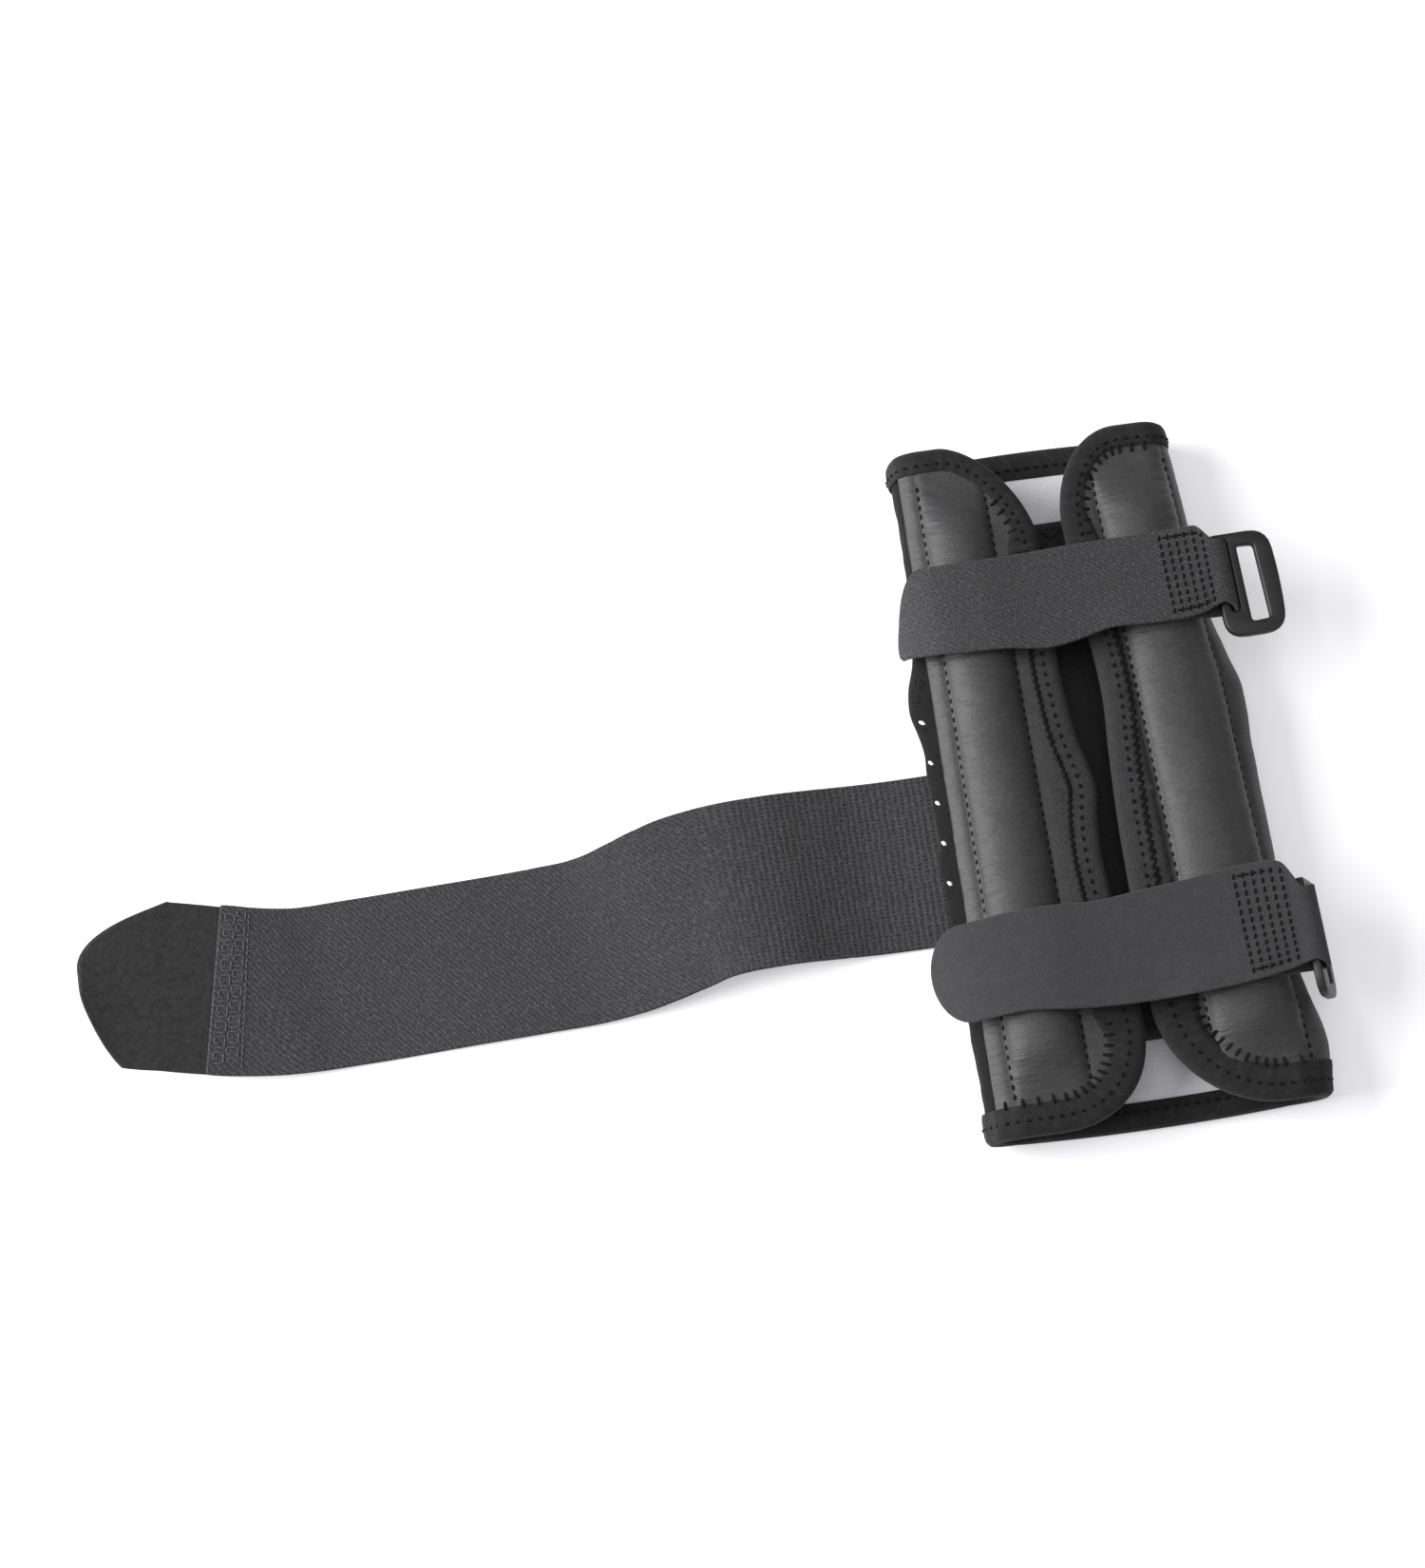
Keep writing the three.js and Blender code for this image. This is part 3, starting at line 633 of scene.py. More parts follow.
def binding_look():
    """Woven tape, dark round the ends of the tube and leather-grey along its free edges."""
    look = Look("binding")
    grey_edge = look.node("ShaderNodeSeparateXYZ", {0: look.cloth}).outputs["Z"]
    weave = look.math("MULTIPLY", look.ribs(0.62, 45, 1.2), look.ribs(0.62, -45, 1.2))
    rubbed = look.noise(look.cloth, 0.45, 4, 0.65)
    fibre = look.noise(look.laid((0.7, 2.2, 1)), 1.3, 4, 0.7)
    dark = look.mix(look.ramp(weave, (0.1, 0.0), (0.8, 1.0)), 0.014, 0.025)
    dark = look.mix(look.ramp(rubbed, (0.5, 0.0), (0.78, 0.5)), dark, 0.046)
    pale = look.mix(look.ramp(fibre, (0.35, 0.0), (0.65, 1.0)), 0.024, 0.044)
    look.bump((rubbed, 0.45, 0.6), (weave, 0.14, 0.5), (fibre, 0.25, 0.5))
    return look.finish(look.mix(grey_edge, dark, pale), 0.85, sheen=0.05, specular=0.2)


def mesh_cloth_look():
    """Black padded cloth with a perforated face."""
    look = Look("perforated_cloth")
    holes = look.cells(look.laid((1, 1, 0), turn=45), 0.42)
    pores = look.ramp(holes, (0.16, 1.0), (0.26, 0.0))
    fuzz = look.noise(look.cloth, 1.8, 4, 0.7)
    tone = look.ramp(fuzz, (0.35, 0.006), (0.7, 0.016))
    tone = look.mix(pores, tone, 0.004)
    look.bump((pores, 0.5, -0.6), (fuzz, 0.25, 0.6))
    return look.finish(tone, 0.9, sheen=0.05, specular=0.12)


def lining_look():
    """Pale grey brushed tricot with a faint knit."""
    look = Look("lining")
    knit = look.math("MULTIPLY", look.ribs(0.9, 0, 0.7), look.ribs(1.3, 90, 0.9))
    fuzz = look.noise(look.cloth, 1.2, 4, 0.7)
    soiled = look.noise(look.cloth, 0.05, 3)
    tone = look.ramp(fuzz, (0.3, 0.80), (0.7, 0.92))
    tone = look.mix(look.ramp(soiled, (0.35, 0.3), (0.7, 0.0)), tone, 0.6)
    look.bump((knit, 0.2, 0.4), (fuzz, 0.25, 0.5))
    return look.finish(tone, 0.95, sheen=0.3, specular=0.2)


def thread_look(name, dark, light):
    """Twisted sewing thread."""
    look = Look(name)
    twist = look.ribs(0.45, 35, 0.2)
    look.bump((twist, 0.1, 0.7))
    return look.finish(look.ramp(twist, (0.2, dark), (0.8, light)), 0.7, specular=0.15)


def hook_look():
    """Moulded hook tape: close rows of short stiff hooks."""
    look = Look("hook_tape")
    hooks = look.cells(look.laid((1, 1, 0)), 1.3)
    mottle = look.noise(look.cloth, 0.5, 5, 0.7)
    fibre = look.noise(look.laid((1.6, 1.1, 1)), 1.6, 4, 0.7)
    tone = look.ramp(mottle, (0.32, 0.020), (0.68, 0.036))
    tone = look.mix(look.ramp(hooks, (0.1, 0.7), (0.4, 0.0)), tone, 0.05)
    tone = look.mix(look.ramp(fibre, (0.62, 0.0), (0.75, 0.4)), tone, 0.085)
    look.bump((mottle, 0.3, 0.4), (hooks, 0.3, -0.7), (fibre, 0.15, 0.4))
    return look.finish(tone, 0.9, sheen=0.04, specular=0.15)


def plastic_look():
    """Moulded black acetal with a fine satin texture and scuffed edges."""
    look = Look("ring_plastic")
    place = look.own_place()
    satin = look.noise(place, 3.5, 2)
    scuffs = look.noise(look.laid((0.3, 2.5, 1), vector=place), 0.9, 4, 0.7)
    worn = look.ramp(look.node("ShaderNodeNewGeometry").outputs["Pointiness"], (0.5, 0.0), (0.56, 1.0))
    tone = look.mix(look.math("MULTIPLY", worn, look.ramp(scuffs, (0.4, 0.0), (0.7, 1.0))), 0.011, 0.035)
    look.bump((satin, 0.03, 0.6), (scuffs, 0.04, 0.3))
    return look.finish(tone, look.ramp(scuffs, (0.3, 0.34), (0.7, 0.5)), specular=0.4)


def aluminium_look():
    """Splint bar: aluminium brushed along its length."""
    look = Look("brushed_aluminium")
    place = look.own_place()
    brushed = look.noise(look.laid((6, 0.15, 6), vector=place), 1.0, 4, 0.7)
    tone = look.ramp(brushed, (0.3, 0.42), (0.7, 0.62))
    look.bump((brushed, 0.03, 0.5))
    return look.finish(tone, look.ramp(brushed, (0.3, 0.32), (0.7, 0.48)), metallic=1.0)


LEATHER = leather_look()
CLOTH = mesh_cloth_look()
LINING = lining_look()
BINDING = binding_look()
THREAD = thread_look("thread", 0.003, 0.010)
GREY_THREAD = thread_look("grey_thread", 0.05, 0.14)
HOOKS = hook_look()
PAD_CLOTH = felt_look("pad_cloth", 0.030, 0.050, 0.2)
HAND_STRAP_CLOTH = twill_look("hand_strap_cloth", 0.038, 0.062, 1.15, -55)
FOREARM_STRAP_CLOTH = felt_look("forearm_strap_cloth", 0.046, 0.068, 0.35)
WIDE_STRAP_CLOTH = twill_look("wide_strap_cloth", 0.030, 0.062, 1.25, -42, 1.0)
LOOP_CLOTH = felt_look("loop_patch", 0.030, 0.055, 0.3)
PLASTIC = plastic_look()
ALUMINIUM = aluminium_look()


# ---- Sides: wall, leather, binding and stitching ----
def rows_along(step=0.9):
    """Places along the tube, closer together at its ends, where the corners turn."""
    count = int(2 * END / step)
    even = np.linspace(-1, 1, count)
    return END * np.sin(even * math.pi / 2) * 0.35 + END * even * 0.65


def bend_with_side(piece, side):
    """The piece follows the back below the rolled side's middle, and the wing above it."""
    x = SIDES[side] * HALF_WIDTH * MM
    low, high = 4 * MM, 15 * MM
    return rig.blend(piece, "back", f"{side}_wing", start=(x, 0, low), end=(x, 0, high))


def side_cloth(side):
    """Padded wall from the free edge round the rolled side to the back, lined inside."""
    sign = SIDES[side]
    y = rows_along(1.6)[:, None]
    share = np.linspace(0, 1, 64)[None, :]
    start = free_edge(sign, y)
    u = start + (U_END - start) * share
    lumps = smooth((u - SIDE_X - 9) / 6) * smooth((U_END - u - 2) / 12)
    lump = 0.55 * lumps * ripple(u, y * 0.8, 9, 31 + sign) * smooth((END - 6 - np.abs(y)) / 10)
    outer = tube(sign, u, y, lump)
    inner = tube(sign, u, y, lump * 0.5 - WALL)
    cloth = flat_cut(u, y)
    piece = closed_sheet(f"{side}_side_cloth", outer, inner, cloth, [CLOTH, LINING], 1)
    bend_with_side(piece, side)
    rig.replaces(piece, f"{side}_wing_wall", f"{side}_gusset")
    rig.slot(piece, "neoprene")
    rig.sheet(piece, flat=((U_END - 4) * MM, 2 * END * MM), held="folded", rests_on=["back_cloth"])


def leather_cover(side):
    """Leather over the wing, raised in a pocket over the splint."""
    sign = SIDES[side]
    y = rows_along(0.75)[:, None] * (END - 2.5) / END
    share = np.linspace(0, 1, 72)[None, :]
    start = free_edge(sign, y) + 2
    u = start + (COVER_EDGE[sign] - start) * share
    top = leather_top(sign, u, y)
    outer = tube(sign, u, y, top)
    inner = tube(sign, u, y, np.maximum(top - COVER, GAP * 0.5))
    cloth = flat_cut(u, y)
    piece = closed_sheet(f"{side}_leather", outer, inner, cloth, [LEATHER])
    bend_with_side(piece, side)
    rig.replaces(piece, f"{side}_leather_cover", f"{side}_splint_foam")
    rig.slot(piece, "leather")
    flat = ((COVER_EDGE[sign] - 2) * MM, 2 * END * MM)
    cut_area = 0.86 * flat[0] * flat[1]  # less its rounded corners
    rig.sheet(piece, flat=flat, held="stretched", rests_on=[f"{side}_side_cloth"], area=cut_area)


def edge_path(sign):
    """The wing's edge as (u, y) points, from the back along the hand end, down the free edge and back."""
    straight = np.linspace(0, 1, 40)
    points = []
    for end in (1, -1):
        along = CORNERS[sign, end][1]
        turn = np.linspace(0, math.pi / 2, 40)[1:]
        y = end * (END - along + along * np.cos(turn))
        u = free_edge(sign, y)
        first = free_edge(sign, np.array([end * END]))[0]
        line = np.stack([U_END + (first - U_END) * straight, np.full(40, end * END)], axis=1)
        points.append((line, np.stack([u, y], axis=1)))
    low, high = points[1][1][-1][1], points[0][1][-1][1]
    y = np.linspace(high, low, 110)[1:-1]
    middle = np.stack([free_edge(sign, y), y], axis=1)
    (hand_line, hand_corner), (arm_line, arm_corner) = points
    return np.concatenate([hand_line, hand_corner, middle, arm_corner[::-1], arm_line[::-1]])


def inward(path):
    tangent = unit(np.gradient(path, axis=0))
    return np.stack([-tangent[:, 1], tangent[:, 0]], axis=1)


def binding_width(sign, y):
    end = np.where(y > 0, END_BINDING[sign, 1], END_BINDING[sign, -1])
    band = BAND_EDGE[sign] - FREE_EDGE[sign](y)
    return end + (band - end) * smooth((82 - np.abs(y)) / 16)


# The tape's section: (share of its width, height) from its inner edge on top, round the fold and below.
TAPE_HEIGHT = 2.25
TAPE_TOP = ((1.0, 1.5), (0.98, 1.95), (0.8, 2.2), (0.5, TAPE_HEIGHT), (0.22, 2.2), (0.04, 2.0))
TAPE_FOLD = ((-0.6, 1.5), (-1.1, 0.7), (-1.25, -0.3), (-1.1, -1.4), (-0.6, -2.4))  # (distance out, height)
TAPE_BELOW = ((0.05, -2.9), (0.3, -3.1), (0.85, -3.0), (0.9, -2.5), (0.2, -2.3), (0.02, -0.4), (0.2, 1.6))


def sunk(sign, u):
    """How far the tape drops round the side, where there is no leather under it."""
    return 1.15 * smooth((u - COVER_EDGE[sign] + 1) / 5)


def on_tape(sign, spots):
    """Points on the tape over (u, y) places."""
    spots = np.atleast_2d(spots)
    return tube(sign, spots[:, 0], spots[:, 1], TAPE_HEIGHT - sunk(sign, spots[:, 0]))


def edge_binding(side):
    """Tape folded over the wing's edge."""
    sign = SIDES[side]
    path = edge_path(sign)
    normal = inward(path)
    width = binding_width(sign, path[:, 1])
    ripples = ripple(path[:, 0], path[:, 1], 4.5, 51 + sign)
    sections, cloth = [], []
    profile = [(share, 0, height) for share, height in TAPE_TOP]
    profile += [(0, out, height) for out, height in TAPE_FOLD]
    profile += [(share, 0, height) for share, height in TAPE_BELOW]
    length = distance_along(path)
    pale = smooth((60 - np.abs(path[:, 1])) / 12)
    around = 0.0
    for share, out, height in profile:
        distance = share * width + out
        at = path + normal * distance[:, None]
        lift = height + (0.26 * ripples if height > 1.9 else 0)
        sections.append(tube(sign, at[:, 0], at[:, 1], lift - sunk(sign, at[:, 0]) * np.clip(height, 0, 1)))
        cloth.append(np.stack([length, np.full(len(path), around), pale], axis=1))
        around += 1.2
    piece = loop_sweep(f"{side}_binding", np.stack(sections, 1), np.stack(cloth, 1), [BINDING])
    bend_with_side(piece, side)
    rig.replaces(piece, f"{side}_edge_binding")
    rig.slot(piece, "binding_tape")
    flat_width = 2 * float(width.mean()) + 5
    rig.sheet(piece, flat=(flat_width * MM, length[-1] * MM), held="folded", rests_on=[f"{side}_leather"])


def on_leather(sign, u, y):
    return tube(sign, u, y, leather_top(sign, u, y))


def along_edge(path, normal, distance, low, high, pitch):
    """Points at a distance in from the edge, a pitch apart, between two shares of its length."""
    line = path + normal * distance
    at = distance_along(path)
    s = np.arange(low * at[-1], high * at[-1], pitch)
    return np.stack([np.interp(s, at, line[:, k]) for k in range(2)], axis=1)


# Where the leather's ends are overcast: shares of the edge's length, and at which end.
TEETH = {
    (-1, 1): (0.20, 0.27, 1),
    (-1, -1): (0.73, 0.925, -1),
    (1, 1): (0.10, 0.27, 1),
    (1, -1): (0.72, 0.91, -1),
}


ROW_IN = 3.6  # the plain row's distance in from the edge
ZIGZAG_IN = 7.4  # the zigzag's outer line
ZIGZAG = {-1: (1.5, 2.0), 1: (2.2, 2.6)}  # its width and pitch
ZIGZAG_REACH = (0.29, 0.71)  # shares of the edge's length
TOOTH_PITCH = 4.0
TEETH_OUT, TEETH_IN = 0.9, 1.9  # how far a tooth reaches over the tape, and over the leather


def side_stitching(side):
    """Seams beside the pocket, the row on the binding, its zigzag, and the overcast leather ends."""
    sign = SIDES[side]
    middle, half = POCKETS[sign]
    y = np.linspace(2 - END, END - 2, 500) * 0.93
    lines = []
    for edge in (-1, 1):
        lines += dashes(on_leather(sign, middle + edge * half, y), 1.6, 2.8)
    path = edge_path(sign)
    normal = inward(path)
    row = on_tape(sign, along_edge(path, normal, ROW_IN, 0.01, 0.99, 0.9))
    lines += dashes(row, 1.3, 3.1)
    wide, pitch = ZIGZAG[sign]
    inner = on_tape(sign, along_edge(path, normal, ZIGZAG_IN + 0.2 - wide, *ZIGZAG_REACH, pitch))
    outer = on_tape(sign, along_edge(path, normal, ZIGZAG_IN, *ZIGZAG_REACH, pitch))
    count = min(len(inner), len(outer)) - 1
    for k in range(count):
        lines += [(inner[k], outer[k]), (outer[k], inner[k + 1])]
    for low, high, end in (TEETH[sign, 1], TEETH[sign, -1]):
        edge = END_BINDING[sign, end]
        near = along_edge(path, normal, edge - TEETH_OUT, low, high, TOOTH_PITCH)
        far = along_edge(path, normal, edge + TEETH_IN, low, high, TOOTH_PITCH)
        lines += zip(on_tape(sign, near), on_leather(sign, far[:, 0], far[:, 1]))
    piece = stitches(f"{side}_stitching", lines, 0.95, THREAD)
    bend_with_side(piece, side)
    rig.slot(piece, "binding_tape")


VENTS = 5
FIRST_VENT, VENT_PITCH = 24.4, 11.9  # along the tube
VENT_LONG, VENT_WIDE = 0.9, 0.36  # half of each
VENT_TILT = math.radians(55)
VENT_TURN = 1.22  # how far round the side


def vent_holes():
    """Five slanting holes in the left side, with the pale lining showing in them."""
    rings = []
    for k in range(VENTS):
        turns = np.linspace(0, 2 * math.pi, 13)[:-1]
        a, b = VENT_LONG * np.cos(turns), VENT_WIDE * np.sin(turns)
        u = SIDE_X + SIDE_RADIUS * VENT_TURN + a * math.cos(VENT_TILT) - b * math.sin(VENT_TILT)
        y = FIRST_VENT - VENT_PITCH * k + a * math.sin(VENT_TILT) + b * math.cos(VENT_TILT)
        rings.append((u, y))
    points, faces, cloth = [], [], []
    for u, y in rings:
        for grow, lift in ((0.6, 0.75), (1.0, 0.5), (1.0, -0.6)):
            around = tube(-1, u.mean() + (u - u.mean()) * grow, y.mean() + (y - y.mean()) * grow, lift)
            start = len(points)
            points += around.tolist()
            cloth += flat_cut(u, y).tolist()
        base = start - 24
        for ring in (0, 12):
            for k in range(12):
                a, b = base + ring + k, base + ring + (k + 1) % 12
                faces.append((a, b, b + 12, a + 12))
        faces += [tuple(range(base, base + 12))[::-1], tuple(range(base + 24, base + 36))]
    piece = mesh_piece("left_vent_holes", points, faces, cloth, [LINING])
    bend_with_side(piece, "left")
    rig.slot(piece, "lining")


# ---- Back ----
def flat_sheet(x, y, low, high, wave=0.0, seed=0):
    """The two faces of a sheet that lies in the back, as grids."""
    x, y = np.meshgrid(x, y)
    lift = wave * ripple(x, y, 26, seed)
    return settle(x, y, high + lift), settle(x, y, low + lift * 0.4), flat_cut(x, y)


def back_cloth():
    reach = SIDE_X - GAP
    x, y = np.linspace(-reach, reach, 50), np.linspace(-END, END, 130)
    top, bottom, cloth = flat_sheet(x, y, 0.0, WALL)
    piece = closed_sheet("back_cloth", top, bottom, cloth, [CLOTH])
    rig.ride(piece, "back")
    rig.replaces(piece, "back_shell")
    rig.slot(piece, "neoprene")
    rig.sheet(piece, flat=(2 * reach * MM, 2 * END * MM), held="laid")


def back_lining():
    reach = SIDE_X + 0.7
    x, y = np.linspace(-reach, reach, 60), np.linspace(0.5 - END, END - 0.5, 130)
    top, bottom, cloth = flat_sheet(x, y, LINING_LOW, LINING_HIGH, 0.25, 3)
    for face in (top, bottom):
        face[..., 2] += 0.3 * smooth((np.abs(x) - SIDE_X + 2) / 2.7)
    piece = closed_sheet("lining", top, bottom, cloth, [LINING])
    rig.ride(piece, "back")
    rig.replaces(piece, "back_lining")
    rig.slot(piece, "lining")
    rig.sheet(piece, flat=(2 * reach * MM, 2 * END * MM), held="laid", rests_on=["back_cloth"])


def back_pad():
    """Thin black pad with rounded corners and a crossed box of stitching at its hand end."""
    (low_x, low_y, low), (high_x, high_y, high) = node_box("back_pad")
    half, corner = high_x, 6
    y = low_y + (high_y - low_y) * (0.5 - 0.5 * np.cos(np.linspace(0, math.pi, 90)))[:, None]
    from_end = np.minimum(y - low_y, high_y - y)
    reach = half - corner + np.sqrt(corner**2 - np.clip(corner - from_end, 0, corner) ** 2)
    across = np.sin(np.linspace(-math.pi / 2, math.pi / 2, 44))[None, :]
    x = reach * across
    rim = np.minimum(reach * (1 - np.abs(across)), from_end)
    crown = np.sqrt(np.clip(1 - (1 - np.clip(rim / 2.4, 0, 1)) ** 2, 0, 1))
    dent = 0.5 * np.exp(-((np.abs(rim - 4.5) / 0.8) ** 2))
    top = low + 0.7 + (high - low - 1.0) * crown - dent + 0.15 * ripple(x, y, 20, 8)
    cloth = flat_cut(x, y)
    piece = closed_sheet("back_pad_cushion", settle(x, y, top), settle(x, y, low + 0 * x), cloth, [PAD_CLOTH])
    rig.ride(piece, "back")
    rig.replaces(piece, "back_pad")
    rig.slot(piece, "pad_fabric")
    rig.padded(piece, fill=0.35)
    box_x, box_y, middle_x, middle_y = 4.2, 3.2, 3.6, high_y - 5.5
    corners = [(-box_x, -box_y), (box_x, -box_y), (box_x, box_y), (-box_x, box_y)]
    pairs = [(0, 1), (1, 2), (2, 3), (3, 0), (0, 2), (1, 3)]
    lines = []
    for a, b in pairs:
        share = np.linspace(0, 1, 12)[:, None]
        line = np.array(corners[a]) * (1 - share) + np.array(corners[b]) * share
        lines += dashes(settle(middle_x + line[:, 0], middle_y + line[:, 1], high - 0.45), 1.2, 1.8)
    inset = 4.5
    for x in (low_x + inset, high_x - inset):
        y = np.linspace(low_y + 8, high_y - 8, 60)
        lines += dashes(settle(x, y, high - 0.7), 1.6, 3.0)
    sewing = stitches("back_pad_stitching", lines, 0.5, THREAD)
    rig.ride(sewing, "back")
    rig.slot(sewing, "pad_fabric")


def back_binding(name, end):
    """Tape folded over one end of the back."""
    reach = SIDE_X + 1
    x = np.linspace(-reach, reach, 60)
    bow = 1.1 * (1 - (x / reach) ** 2)
    above = LINING_HIGH - 0.3
    profile = [(7.2, above), (7.0, above + 0.8), (5, above + 1.1), (2, above + 1.1), (-0.4, above + 0.6),
               (-1.2, above - 0.5), (-1.4, 1.8), (-1.0, 0.5), (-0.2, 0.05), (2, 0.0), (7.0, 0.0), (7.0, 0.4),
               (1.0, 0.5), (0.3, 1.5), (0.4, above - 0.2)]
    sections, cloth = [], []
    for k, (inset, z) in enumerate(profile):
        swell = 0.18 * ripple(x, 0 * x + k, 6, 71 + end) if z > above else 0
        sections.append(settle(x, end * (END + bow - inset), np.maximum(z + swell, 0)))
        cloth.append(flat_cut(x, 1.3 * k))
    piece = loop_sweep(f"{name}_tape", np.stack(sections, 1), np.stack(cloth, 1), [BINDING])
    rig.ride(piece, "back")
    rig.replaces(piece, name)
    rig.slot(piece, "binding_tape")
    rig.sheet(piece, flat=(2 * reach * MM, 20 * MM), held="folded", rests_on=["back_cloth"])
    row = settle(x, end * (END + bow - 4.2), above + 1.2)
    sewing = stitches(f"{name}_stitching", dashes(row, 1.6, 2.9), 0.9, THREAD)
    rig.ride(sewing, "back")
    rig.slot(sewing, "binding_tape")


# ---- Straps ----
def line_through(points, step):
    """A smooth line of (x, z) points, a step apart, and the distance along it."""
    points = np.array(points, float)
    chord = distance_along(points)
    fine = np.linspace(0, chord[-1], 40 * len(points))
    curves = [through(*zip(chord, points[:, k])) for k in range(2)]
    line = np.stack([curve(fine) for curve in curves], axis=1)
    length = distance_along(line)
    even = np.linspace(0, length[-1], int(length[-1] / step))
    return np.stack([np.interp(even, length, line[:, k]) for k in range(2)], axis=1), even


def along_line(line, at, s, height):
    """Points (x, z) that lie s along a line of (x, z) points and a height to its left."""
    x, z = (np.interp(s, at, line[:, k]) for k in range(2))
    tangent = unit(np.gradient(line, axis=0))
    slope_x, slope_z = (np.interp(s, at, tangent[:, k]) for k in range(2))
    return x - height * slope_z, z + height * slope_x


class Strap:
    """A band along a line of (x, z) points. Places on it are s along and t across, from -1 to 1."""

    def __init__(self, points, middle, half, thick, step=0.8, lift=None):
        self.line, self.at = line_through(points, step)
        self.length = self.at[-1]
        self.middle, self.half, self.thick = middle, half, thick
        self.lift = lift or (lambda x, t: 0)

    def place(self, s, t, height):
        s, t = np.broadcast_arrays(s, t)
        x, z = along_line(self.line, self.at, s, height)
        low, high = self.half(s, x)
        aside = np.where(t < 0, t * low, t * high)
        slope = self.middle(x + 0.5) - self.middle(x - 0.5)
        return np.stack([x - slope * aside, self.middle(x) + aside, z + self.lift(x, t)], axis=-1)

    def sheet(self, name, s, t, material, knit=None, heights=None, crease=62):
        """The closed mesh of the band between the places s and t, which are grids."""
        s, t = np.broadcast_arrays(s, t)
        high, low = heights or (self.thick / 2, -self.thick / 2)
        top, bottom = self.place(s, t, high), self.place(s, t, low)
        share = knit(top[..., 0]) if knit else 0 * s
        cloth = np.stack([s, top[..., 1], share], axis=-1)
        return closed_sheet(name, top, bottom, cloth, [material], crease=crease)


def across(count=30):
    return np.linspace(-1, 1, count)[None, :]


def past_tip(depth, power=2.0, flare=0.0):
    """How far in from its tip a strap's end lies, across it: rounded corners, and a slant if it flares."""
    def inset(t):
        return depth * (1 - np.clip(1 - np.abs(t) ** power, 0, 1) ** (1 / power)) + flare * (1 + t) / 2
    return inset


def narrow_strap(name, tip, ring_x, drawn_in, tip_shape, material, edges, lift):
    """A strap from its tip over both pockets, round its ring's bar and back under itself.

    Its edges stray from straight by the two curves; where it passes its ring its hand side is drawn in.
    """
    low, high = node_box(f"{name}_strap_tab")
    middle, half = (low[1] + high[1]) / 2, (high[1] - low[1]) / 2
    top, ring_z, fold = 27.9, 26.0, 2.9
    turns = np.linspace(1.35, -1.5, 7)
    bend = [(ring_x + fold * math.cos(a), ring_z + fold * math.sin(a)) for a in turns]
    points = [*tip, (-26, top), (-9, 27.5), (9, 27.5), (26, top), (35, 28.2), (ring_x - 5, 28.7), *bend,
              (ring_x - 6, 23.7), (37, 24.3), (31, 25.4), (27, 26.0)]
    draw = through((ring_x - 5.5, 0), (ring_x - 0.3, drawn_in))

    def halves(s, x):
        fold = strap.at[np.argmax(strap.line[:, 0])]
        above = smooth((fold - s) / 6)
        return half + above * edges[0](x), half + above * edges[1](x) - draw(x)

    strap = Strap(points, lambda x: middle + 0 * x, halves, 1.2, 0.5, lift)
    t = np.sin(np.linspace(-math.pi / 2, math.pi / 2, 40))[None, :]
    start = tip_shape(t)
    share = np.linspace(0, 1, int(strap.length / 0.9))[:, None]
    s = start + (strap.length - start) * share
    piece = strap.sheet(f"{name}_strap", s, t, material)
    hinge = joint_place(f"{name}_strap_peel")
    start, end = (hinge[0] + 4, hinge[1], hinge[2] - 1.5), (hinge[0] - 5, hinge[1], hinge[2] + 0.5)
    ends = {"start": tuple(np.array(start) * MM), "end": tuple(np.array(end) * MM)}
    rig.blend(piece, "right_wing", f"{name}_tab", **ends)
    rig.replaces(piece, f"{name}_strap_tab", f"{name}_strap_anchor")
    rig.slot(piece, "strap_fabric")
    flat = (2 * half * MM, strap.length * MM)
    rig.sheet(piece, flat=flat, held="folded", rests_on=["left_leather", "right_leather"])
    return strap, ends


SEAM_HEIGHT = 0.66  # above the strap's middle, so that the thread lies half in its face
SEAM_REACH = 0.84  # across the strap


def box_seam(name, strap, ends, low_x, high_x, columns, rows):
    """A box of stitching through both layers of a strap: columns of dashes."""
    outside = strap.at[np.argmax(strap.line[:, 0])]
    upper = strap.at < outside
    lines = []
    for column in np.linspace(low_x, high_x, columns):
        s = np.interp(column, strap.line[upper, 0], strap.at[upper])
        for row in np.linspace(-SEAM_REACH, SEAM_REACH, rows):
            reach = 0.68 * SEAM_REACH / (rows - 1)
            a = strap.place(s - 0.15, row - reach, SEAM_HEIGHT)
            b = strap.place(s + 0.15, row + reach, SEAM_HEIGHT)
            lines.append((a, b))
    for row in (-SEAM_REACH, SEAM_REACH):
        s = np.interp(np.linspace(low_x, high_x, 20), strap.line[upper, 0], strap.at[upper])
        lines += dashes(strap.place(s, row, SEAM_HEIGHT), 1.3, 2.2)
    sewing = stitches(f"{name}_box_seam", lines, 0.72, THREAD)
    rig.blend(sewing, "right_wing", f"{name}_tab", **ends)
    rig.slot(sewing, "strap_fabric")


def hook_patch(name, strap):
    """The hook tape under a narrow strap's tip."""
    low, high = node_box(f"{name}_strap_hook_patch")
    upper = strap.at < strap.length / 2
    s = np.interp([low[0], high[0]], strap.line[upper, 0], strap.at[upper])
    s = np.linspace(*s, 30)[:, None]
    piece = strap.sheet(f"{name}_hooks", s, 0.9 * across(20), HOOKS, heights=(-0.85, -1.45))
    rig.ride(piece, f"{name}_tab")
    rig.replaces(piece, f"{name}_strap_hook_patch")
    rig.slot(piece, "hook_tape")
    flat = ((high[0] - low[0]) * MM * 1.05, (high[1] - low[1]) * MM)
    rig.sheet(piece, flat=flat, held="laid", rests_on=[f"{name}_strap"])


